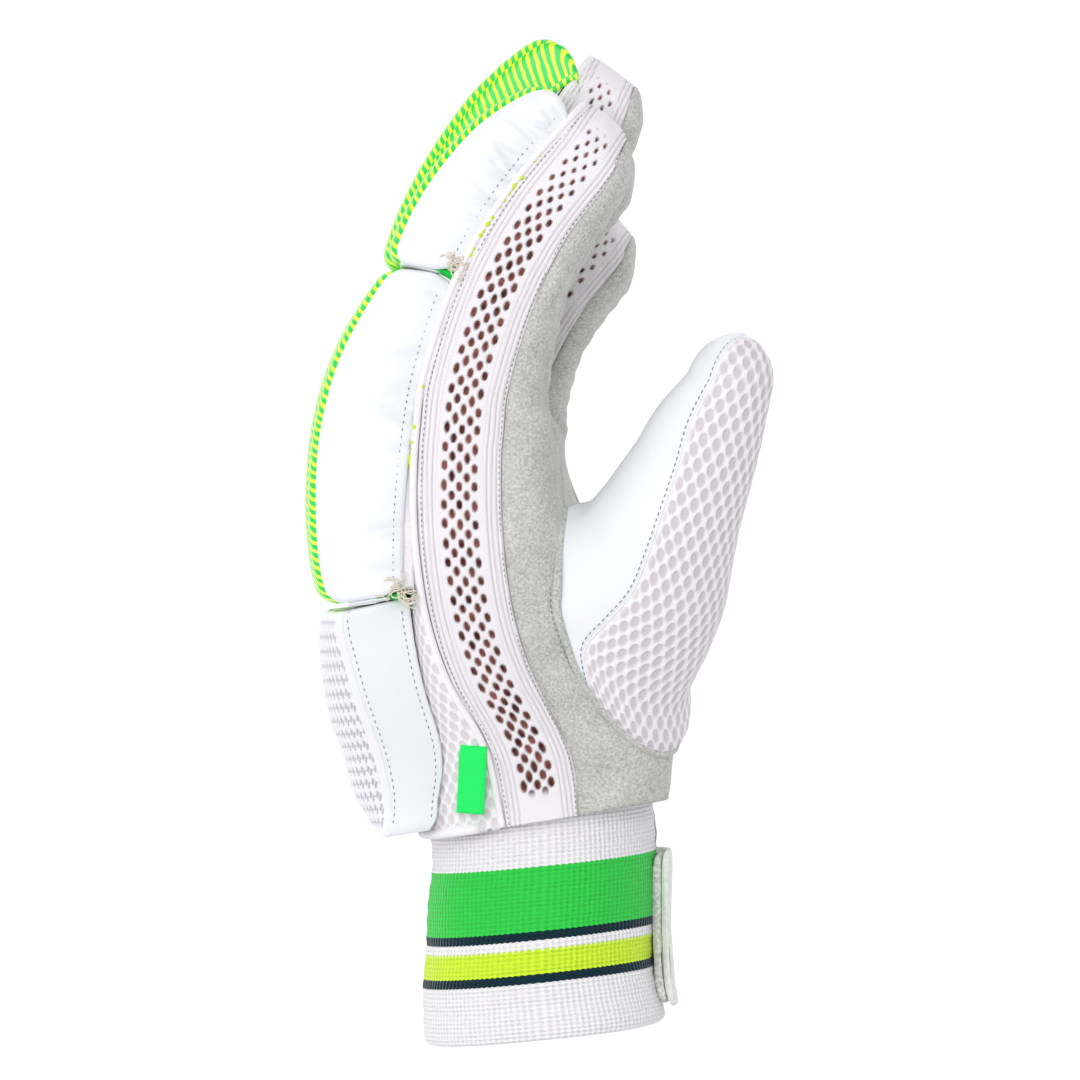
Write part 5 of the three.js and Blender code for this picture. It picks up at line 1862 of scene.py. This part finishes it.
@dataclass
class Thumb:
    """The thumb: leather on the near left, mesh over its outer side and suede underneath."""

    maker: Maker
    seam_gap: float = 0.5
    tuck: float = 0.02
    cell_steps: tuple[float, float] = (3.85, 6.7)
    cell_half: tuple[float, float] = (1.28, 2.05)
    cell_depth: float = 0.55

    def start(self, turn: Array) -> Array:
        """Where the thumb comes out of the palm at some turns, found on a fine grid.

        Args:
            turn: turns about the thumb's own line.

        Returns:
            The last place on the line, for each turn, that is still inside the hand.
        """
        at = np.linspace(0, 0.55, 160)[:, None]
        points = thumb_point(at, turn[None, :])
        track = np.linspace(HEM, WEB, 220)
        spine = HAND.at(track).point
        gap = points[..., None, :2] - spine
        along = track[np.argmin(np.sum(gap * gap, axis=-1), axis=-1)]
        for _ in range(4):
            spot = HAND.at(along)
            ahead = np.sum((points[..., :2] - spot.point) * spot.forward, axis=-1)
            along = np.clip(along + ahead * 0.9, HEM - 8, WEB + 10)
        depth = depth_in(HAND.at(along), points)
        beyond = np.abs(points[..., 2] - HAND_MIDDLE) > half_width(along)
        outside = (depth > palm_surface_depth(along, points[..., 2])) | beyond
        last_inside = len(at) - 1 - np.argmin(outside[::-1], axis=0)
        last_inside = np.where(outside.all(axis=0), 0, last_inside)
        return at[last_inside, 0]

    def wall(self, first: Table, last: Table, columns: int, rows: int) -> tuple[Array, Array, Array]:
        """A part of the thumb between two seams, from the palm over the thumb's tip.

        Args:
            first: the turns of the seam that it starts at.
            last: the turns of the seam that it ends at.
            columns: how many points go across.
            rows: how many go along, before the tip.

        Returns:
            The places along the thumb, the turns and the points.
        """
        dome = 1 + np.sin(TAU / 4 * np.linspace(0, 0.995, rows // 6))[1:]
        v = np.concatenate([np.linspace(0, 1, rows), dome])[:, None]
        c = np.linspace(0, 1, columns)[None, :]

        def turns(at: Array) -> Array:
            """The turns across the part at some places along the thumb."""
            return mix(first.read("turn", at) + self.seam_gap, last.read("turn", at) - self.seam_gap, c)

        base = np.maximum(smoothed(self.start(turns(v)[0])) - self.tuck, 0)[None, :]
        at = np.where(v <= 1, base + (1 - base) * np.minimum(v, 1), v)
        return at, turns(at), thumb_point(at, turns(at))

    def centre(self, at: Array) -> Array:
        """Points on the thumb's own middle line.

        Args:
            at: places on the line.

        Returns:
            The points.
        """
        scales = {"x": HAND_LENGTH, "y": HAND_LENGTH, "z": HAND_WIDTH}
        low = np.minimum(at, 1)
        return np.stack([THUMB_RINGS.read(name, low) * scale for name, scale in scales.items()], axis=-1)

    def build(self) -> None:
        """Builds the three panels, the seam between leather and mesh and the rolled edge at the base."""
        self.mesh()
        self.leather()
        self.suede()
        self.seam()
        self.base()

    def mesh(self) -> None:
        """The mesh panel: staggered cells pressed into it, fading out at its borders and the tip."""
        rows, middle_column = 240, 110
        at, _, points = self.wall(MESH_FROM, LEATHER_EDGE, 150, rows)
        middle = self.centre(at)
        reach = np.cumsum(np.linalg.norm(np.diff(points, axis=1), axis=-1), axis=1)
        around = np.concatenate([np.zeros((len(points), 1)), reach], axis=1)
        u = around - around[:, middle_column : middle_column + 1]
        down = np.linalg.norm(np.diff(points[:, 100], axis=0), axis=-1)
        v = np.concatenate([[0], np.cumsum(down)])[:, None] + 0 * u
        v = v - v[rows : rows + 1]
        border = ease(np.minimum(around, around[:, -1:] - around) / 2.0)
        net = cells(u, v, *self.cell_steps, self.cell_half) * border * (1 - ease((at - 1.75) / 0.2))
        points = points - unit(points - middle) * (self.cell_depth * net - 0.25 * border)[..., None]
        shape = sheet(points, middle, np.stack([v, u], axis=-1), {"hole": net})
        self.maker.piece("thumb_mesh_panel", shape, Look.MESH, "mesh", ("thumb_mesh",), wall=THUMB_WALL)

    def leather(self) -> None:
        """The leather panel: a low bulge between its seams, one soft dent and faint creases."""
        at, _, points = self.wall(LEATHER_EDGE, SUEDE_FROM, 60, 120)
        middle = self.centre(at)
        share = np.linspace(0, 1, 60)[None, :]
        dent = np.exp(-(((at - 0.3) / 0.12) ** 2) - ((share - 0.35) / 0.16) ** 2)
        swell = 0.5 * np.sin(math.pi * share) * ease(at * 3) - 0.5 * dent
        swell = swell + 0.22 * ripples(at * 90, share * 25, 24.0, 4) * np.sin(math.pi * share)
        points = points + unit(points - middle) * swell[..., None]
        shape = sheet(points, middle, np.stack([at * 90, 0 * at + share * 30], axis=-1))
        self.maker.piece(
            "thumb_leather_panel", shape, Look.LEATHER, "leather", ("thumb_leather",), wall=THUMB_WALL
        )

    def suede(self) -> None:
        """The suede panel underneath, a little uneven."""
        at, turn, points = self.wall(SUEDE_FROM, SUEDE_TO, 60, 110)
        middle = self.centre(at)
        relief = 0.2 * ripples(points[..., 0], points[..., 1], 14.0, 9)
        points = points + unit(points - middle) * relief[..., None]
        shape = sheet(points, middle, np.stack([at * 90, turn / 4], axis=-1))
        self.maker.piece("thumb_suede_panel", shape, Look.SUEDE, "suede", ("thumb_suede",), wall=THUMB_WALL)

    def seam(self) -> None:
        """The stitched and piped seam between leather and mesh."""
        first = float(self.start(np.array([83.0]))[0])
        at = np.concatenate([np.linspace(first + 0.02, 1, 120), np.linspace(1, 1.7, 20)[1:]])
        turn = LEATHER_EDGE.read("turn", at)
        path = thumb_point(at, turn, 0.15)
        out = unit(path - self.centre(at))
        line = thumb_point(at, turn + 2.4, 0.12)
        self.maker.piece("thumb_seam_thread", stitches(line, out, 1.7, 1.1, 0.16), Look.STITCH, "strap")
        self.maker.piece("thumb_seam_piping", cord_of(path - out * 0.25, 0.42), Look.LEATHER, "leather")

    def base(self) -> None:
        """The roll of suede round the base and its stitches."""
        turns = np.linspace(-70, 215, 220)
        base = smoothed(self.start(turns))
        rim = thumb_point(base, turns, 0.5)
        self.maker.piece("thumb_base_roll", cord_of(rim, 1.35, sides=12), Look.SUEDE, "suede")
        out = unit(rim - self.centre(base))
        lay = thumb_point(base - 0.012, turns, 2.0)
        self.maker.piece("thumb_base_thread", stitches(lay, out, 1.6, 1.0, 0.17), Look.STITCH, "strap")


@dataclass
class Cuff:
    """The knitted wrist cuff and the two layers of its hook-and-loop strap."""

    maker: Maker
    columns: int = 360
    rows: int = 118
    rib_pitch: float = 4.4

    def build(self) -> None:
        """Builds the cuff as one wall with round edges, then the strap's two layers."""
        turn = np.linspace(0, FULL_TURN, self.columns, endpoint=False)[None, :]
        half = CUFF_WALL / 2
        outer = np.linspace(0, 1, self.rows)
        bend = np.linspace(0, math.pi, 12)[1:-1]
        rim, sink = half / CUFF_LENGTH * np.sin(bend), half * np.cos(bend)
        at = np.concatenate([outer, 1 + rim, outer[::-1], -rim])[:, None]
        grow = np.concatenate([0 * outer, sink - half, 0 * outer - CUFF_WALL, -half - sink])[:, None]
        points = cuff_point(at, turn, grow + 0 * turn)
        away = points - np.array([*points[..., :2].reshape(-1, 2).mean(axis=0), HAND_MIDDLE])
        away[..., 1] = 0
        out = unit(away)
        around = turn / FULL_TURN * CUFF_GIRTH
        wave = 0.35 * ripples(around, at * CUFF_LENGTH, 26.0, 2) * (1 - 0.8 * ease((at - 0.8) / 0.12))
        ribs = 0.1 * np.sin(TAU * at * CUFF_LENGTH / self.rib_pitch)
        hem = 0.35 * np.exp(-(((at - 0.05) / 0.035) ** 2))
        points = points + out * (wave + ribs + hem * (grow > -half))[..., None]
        uv = np.stack(np.broadcast_arrays(around, at * CUFF_LENGTH), axis=-1)
        shape = tube(points, uv, capped=False)
        self.maker.piece("knit_cuff", shape, Look.CUFF, "cuff", ("cuff",))
        self.strap("loop_strap", 0.3, 2.2, 0.015, Look.TAPE, ("strap_loop",))
        self.strap("outer_strap", 2.8, 1.9, 0.0, Look.STRAP, ("strap",))

    def strap(
        self, name: str, lift: float, wall: float, inset: float, look: Look, nodes: tuple[str, ...]
    ) -> None:
        """One layer of the strap: a flat band with rounded edges and ends, bent round the cuff.

        Args:
            name: the piece's name.
            lift: how far it stands off the cuff.
            wall: its thickness.
            inset: how much narrower it is at each edge, as a share of the cuff's length.
            look: its finish.
            nodes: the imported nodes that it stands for.
        """
        low, high = STRAP_FROM + inset, STRAP_FROM + STRAP_WIDTH / CUFF_LENGTH - inset
        section = np.linspace(0, TAU, 64, endpoint=False)[None, :]
        a, g = signed_power(np.cos(section), 0.12), signed_power(np.sin(section), 0.5)
        turn = np.linspace(*STRAP_TURNS, 90)[:, None]
        near = np.minimum(turn - STRAP_TURNS[0], STRAP_TURNS[1] - turn) / 5
        taper = np.sqrt(1 - (1 - np.clip(near, 0, 1)) ** 2) * 0.12 + 0.88
        at = (low + high) / 2 + a * (high - low) / 2 * taper
        wave = 0.25 * ripples(turn / 2, at * 40, 21.0, 6)
        points = cuff_point(at, turn + 0 * section, lift + wall / 2 * (1 + g) + wave)
        uv = np.stack(np.broadcast_arrays(turn, at * 60), axis=-1)
        self.maker.piece(name, tube(points, uv), look, "strap", nodes)


@dataclass
class SmallParts:
    """The tag, the loose threads, the raw edges, the green joints and the seams' stitches."""

    maker: Maker
    tag_size: tuple[float, float, float] = (18.0, 7.6, 1.2)
    tag_turns: tuple[float, float] = (-0.06, -0.3)
    tag_offset: tuple[float, float, float] = (5.7, -5.6, 2.6)
    loops_per_knot: int = 15

    def tag(self) -> None:
        """A folded satin tag: a flat, faintly waved loop of ribbon, lying on the backing."""
        length, width, wall = self.tag_size
        y = np.linspace(-length / 2, length / 2, 30)[:, None]
        turn = np.linspace(0, TAU, 40, endpoint=False)[None, :]
        x = width / 2 * signed_power(np.cos(turn), 0.25)
        z = wall / 2 * signed_power(np.sin(turn), 0.7) + 0.25 * np.sin(y / 6)
        local = np.stack(np.broadcast_arrays(x, y, z), axis=-1)
        spin, tip = (Matrix.Rotation(angle, 3, axis) for angle, axis in zip(self.tag_turns, "ZY"))
        seat = back_point(INDEX, np.array(0.078 * HAND_LENGTH), np.array(0.86))
        points = local @ np.array(tip @ spin).T + seat + np.array(self.tag_offset)
        self.maker.piece("green_tag", tube(points), Look.TAG, "tag", ("tag",))

    def threads(self) -> None:
        """Knots of cream thread at the two joints of the index finger, as loose loops."""
        rng = np.random.default_rng(41)
        parts = []
        t = np.linspace(0, 1, 46)[:, None]
        for share, past, depth in ((INDEX.split, 2.0, -1.9), (INDEX.first, 1.5, -0.4)):
            spot = INDEX.at(np.array(share * HAND_LENGTH + past))
            home = place(spot, np.array(depth), INDEX.z + FINGER_WIDTH / 2 + 0.9)
            for _ in range(self.loops_per_knot):
                size = rng.uniform(0.5, 2.0)
                start, turn = rng.uniform(0, TAU), rng.uniform(3.2, 8.5)
                angle = start + turn * t
                loop = np.hstack([np.cos(angle), np.sin(angle), 0.45 * np.sin(2 * turn * t + start)])
                drift = rng.normal(0, 1.3, 3) * np.array([1.0, 1.0, 0.3])
                drift = drift + t * rng.normal(0, 2.2, 3) * np.array([1.0, 1.0, 0.2])
                line = home + drift + loop * size * np.array([1.0, 0.8, 0.35]) * (1 - 0.3 * t)
                parts.append(cord_of(line, 0.19, sides=6))
        self.maker.piece("loose_threads", Shape.joined(parts), Look.THREAD, "strap")

    def raw_edges(self) -> None:
        """Frayed yellow edges of the printed leather that peep out between roll and panel."""
        parts = []
        for first, last, depth in ((151.0, 185.0, 0.5), (94.0, 121.0, 0.2)):
            along = np.linspace(first, last, 220)
            z = INDEX.z + FINGER_WIDTH / 2 + 0.25 + 0.25 * ripples(along, 0 * along, 2.2, 17)
            line = place(INDEX.at(along), depth + 0.25 * ripples(along, 0 * along, 3.0, 12), z)
            parts.append(cord_of(line, 0.4 + 0.2 * ripples(along, 0 * along, 1.6, 13), sides=6))
        self.maker.piece("yellow_raw_edge", Shape.joined(parts), Look.RAW_EDGE, "print")

    def gap_bar(self, finger: Finger, reach: Array, h: Array, inset: float, sink: float) -> Shape:
        """A flat bar across the gap between two rolls: ovals stacked up from the finger's back.

        Args:
            finger: the finger.
            reach: the distances along it of the ovals' points.
            h: the ovals' heights.
            inset: how far the bar's ends stay inside the finger's sides.
            sink: how far it is moved out from the finger's back.

        Returns:
            The bar.
        """
        z = finger.z + (FINGER_WIDTH / 2 - inset) * signed_power(np.cos(OVAL_TURNS), 0.3)
        return tube(place(finger.at(reach), -sink - h + 0 * OVAL_TURNS, z + 0 * h))

    def joints(self) -> None:
        """Green lining in the gaps between the rolls, which open at their foot, and leather above."""
        lining, webs = [], []
        low, high = np.linspace(-0.6, 7.0, 16)[:, None], np.linspace(4.0, 15.0, 10)[:, None]
        thin = np.maximum(0.1, 1 - low / 6.5)
        for finger in FINGERS:
            gaps = ((finger.split, 2.3, 0.17, 0.18), (finger.first, 1.5, 0.1, 0.125))
            for share, wide, lean, web_lean in gaps:
                along = share * HAND_LENGTH
                reach = along - lean * low + wide * np.sin(OVAL_TURNS) * thin
                lining.append(self.gap_bar(finger, reach, low, 0.3, 0.4))
                reach = along - web_lean * high + 0.75 * np.sin(OVAL_TURNS)
                webs.append(self.gap_bar(finger, reach, high, 0.5, 0.0))
        self.maker.piece("joint_lining", Shape.joined(lining), Look.INNER_GREEN, "print")
        self.maker.piece("joint_web", Shape.joined(webs), Look.LEATHER, "leather")

    def lining(self) -> None:
        """The cloth that shows in the slit between the index rolls and the panel: a narrow strip."""
        along = np.linspace(0.3 * HAND_LENGTH, INDEX.tip - 7, 140)[:, None]
        depth = np.linspace(-4.5, 2.4, 8)[None, :]
        z = INDEX.z + FINGER_WIDTH / 2 - 1.7 + 0 * along + 0 * depth
        points = place(INDEX.at(along + 0 * depth), depth + 0 * along, z)
        below = points - np.array([0.0, 0.0, 5.0])
        uv = np.stack(np.broadcast_arrays(along, depth), axis=-1)
        shape = sheet(points, below, uv)
        self.maker.piece("slit_lining", shape, Look.KNIT, "knit", wall=0.6)

    def piping(self, wall: KnitWall) -> None:
        """The cloth edge between the rolls and the index panel, as a soft uneven roll.

        Args:
            wall: the index finger's knit wall.
        """
        spot, z, out, back, _ = wall.edges()
        along, angle, _ = wall.stations()
        keep = angle < 1.2
        line = place(spot, back - 1.0, z)[keep]
        wobble = 0.2 * ripples(along[keep], 0 * along[keep], 6.0, 14)
        line = line + out[keep] * wobble[:, None]
        self.maker.piece("cloth_edge", cord_of(line[::3], 1.0, sides=10), Look.KNIT, "knit")

    def seam_stitches(self, wall: KnitWall, rolls: list[Roll], block: BackBlock) -> None:
        """Rows of stitches along the panel's seams, the rolls' feet and the block's edges.

        Args:
            wall: the index finger's knit wall.
            rolls: the index finger's rolls.
            block: the block over the back of the hand.
        """
        parts = []
        for edge in (0.965, 0.05):
            path, out = wall.seam_path(edge, 0.1)
            parts.append(stitches(path[::4], out[::4], 1.5, 0.85, 0.14))
        for roll in rolls:
            path, out = roll.foot_stitches(1)
            parts.append(stitches(path, out, 2.0, 0.8, 0.16))
        for rise in (0.12, 0.9):
            path, out = block.line(1.0, rise)
            parts.append(stitches(path, out, 1.9, 1.0, 0.16))
        self.maker.piece("seam_stitches", Shape.joined(parts), Look.STITCH, "strap")

    def hem(self) -> None:
        """The rolled mesh hem at the wrist, under the block and round to the panel."""
        z = np.linspace(HAND_MIDDLE - 30, HAND_MIDDLE + half_width(np.array(HEM)) - 0.4, 90)
        reach = (z - HAND_MIDDLE) / half_width(np.array(HEM))
        depth = back_depth(HEM, np.clip(reach, -1, 1))
        line = place(HAND.at(np.full_like(z, HEM + 0.8)), depth + 0.6, z)
        self.maker.piece("wrist_hem", cord_of(line, 1.5, sides=12), Look.KNIT, "mesh")


@dataclass
class Studio:
    """A white table, soft light from above and all round, and the camera straight overhead.

    Its lengths are in metres: the camera's height over the glove, and how much of the table its
    frame takes in.
    """

    height: float = 1.6
    reach: float = 0.2916
    aim: tuple[float, float] = (0.0007, 0.0)

    def build(self) -> None:
        """Makes the floor, the light and the camera."""
        scene = bpy.context.scene
        floor = bpy.data.meshes.new("table_top")
        floor.from_pydata([(-4, -4, 0), (4, -4, 0), (4, 4, 0), (-4, 4, 0)], [], [(0, 1, 2, 3)])
        plane = bpy.data.objects.new("table_top", floor)
        plane.location.z = -0.0004
        scene.collection.objects.link(plane)
        material = bpy.data.materials.new("White table")
        material.use_nodes = True
        shader = material.node_tree.nodes["Principled BSDF"]
        shader.inputs["Base Color"].default_value = (0.55, 0.55, 0.56, 1)
        shader.inputs["Roughness"].default_value = 0.9
        shader.inputs["Specular IOR Level"].default_value = 0.0
        shader.inputs["Emission Color"].default_value = (1, 1, 1, 1)
        shader.inputs["Emission Strength"].default_value = 0.7
        floor.materials.append(material)

        world = bpy.data.worlds.new("Soft room")
        world.use_nodes = True
        world.node_tree.nodes["Background"].inputs[0].default_value = (0.96, 0.97, 1.0, 1)
        world.node_tree.nodes["Background"].inputs[1].default_value = 0.57
        scene.world = world
        self.lamp("overhead", (-0.22, 0.16, 1.4), 0.8, 10.0)
        self.lamp("left_fill", (-1.2, 0.2, 0.9), 0.9, 2.5)

        camera = bpy.data.cameras.new("overhead_camera")
        camera.sensor_width = 36
        camera.lens = 36 * self.height / self.reach
        camera.clip_end = 50
        stand = bpy.data.objects.new("overhead_camera", camera)
        stand.location = (*self.aim, self.height + 0.055)
        scene.collection.objects.link(stand)
        scene.camera = stand
        scene.view_settings.view_transform = "Standard"

    def lamp(self, name: str, spot: tuple[float, float, float], size: float, power: float) -> None:
        """A square soft light that faces the glove.

        Args:
            name: the light's name.
            spot: its place, in metres.
            size: the length of its side, in metres.
            power: its power, in watts.
        """
        data = bpy.data.lights.new(name, "AREA")
        data.size, data.energy = size, power
        light = bpy.data.objects.new(name, data)
        light.location = spot
        light.rotation_mode = "QUATERNION"
        light.rotation_quaternion = (-Vector(spot)).to_track_quat("-Z", "Y")
        bpy.context.scene.collection.objects.link(light)


def build_glove() -> None:
    """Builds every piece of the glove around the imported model."""
    maker = Maker()
    sheets = HandSheets(maker)
    sheets.palm()
    sheets.backing()
    panel = KnitWall(INDEX, 1, HEM, PANEL_BULGE)
    maker.piece("index_knit", panel.shape(), Look.KNIT, "knit", ("index_panel",), wall=KNIT_WALL)
    lower_side = KnitWall(LITTLE, -1, HEM, 0.0, step=0.6, columns=44)
    maker.piece("little_knit", lower_side.shape(), Look.KNIT, "knit", ("little_panel",), wall=KNIT_WALL)
    inner = WEB + 0.6
    for finger, both in ((INDEX, False), (MIDDLE, True), (RING, True), (LITTLE, False)):
        side = 1 if finger is LITTLE else -1
        wall = KnitWall(finger, side, inner, 0.25, both_sides=both, step=0.6, columns=44)
        nodes = (f"{finger.name}_fourchette",)
        maker.piece(f"{finger.name}_gusset", wall.shape(), Look.KNIT, "knit", nodes, wall=KNIT_WALL)

    index_rolls = []
    for finger in FINGERS:
        for upper in (False, True):
            roll = Roll(finger, upper)
            name = f"{finger.name}_upper" if upper else f"{finger.name}_lower"
            body, face = roll.body(), roll.face()
            maker.piece(f"{name}_pad", body, Look.LEATHER, "leather", (f"{name}_roll",), padded=PAD_FILL)
            maker.piece(f"{name}_print", face, Look.PRINT, "print", (f"{name}_face",))
            if finger is INDEX:
                index_rolls.append(roll)
    block = BackBlock()
    maker.piece("back_pad", block.body(), Look.LEATHER, "leather", ("back_block",), padded=PAD_FILL)
    front = ("back_block_face",)
    maker.piece("back_pad_front", block.face(), Look.EMBOSSED, "embossed", front, wall=FRONT_WALL)
    Thumb(maker).build()
    Cuff(maker).build()
    small = SmallParts(maker)
    small.tag()
    small.threads()
    small.raw_edges()
    small.joints()
    small.lining()
    small.piping(panel)
    small.seam_stitches(panel, index_rolls, block)
    small.hem()


def main() -> None:
    """Builds the glove and its studio, and notes the sizes."""
    logging.basicConfig(level=logging.INFO, format="%(name)s %(message)s")
    build_glove()
    Studio().build()


if __name__ == "__main__":
    main()
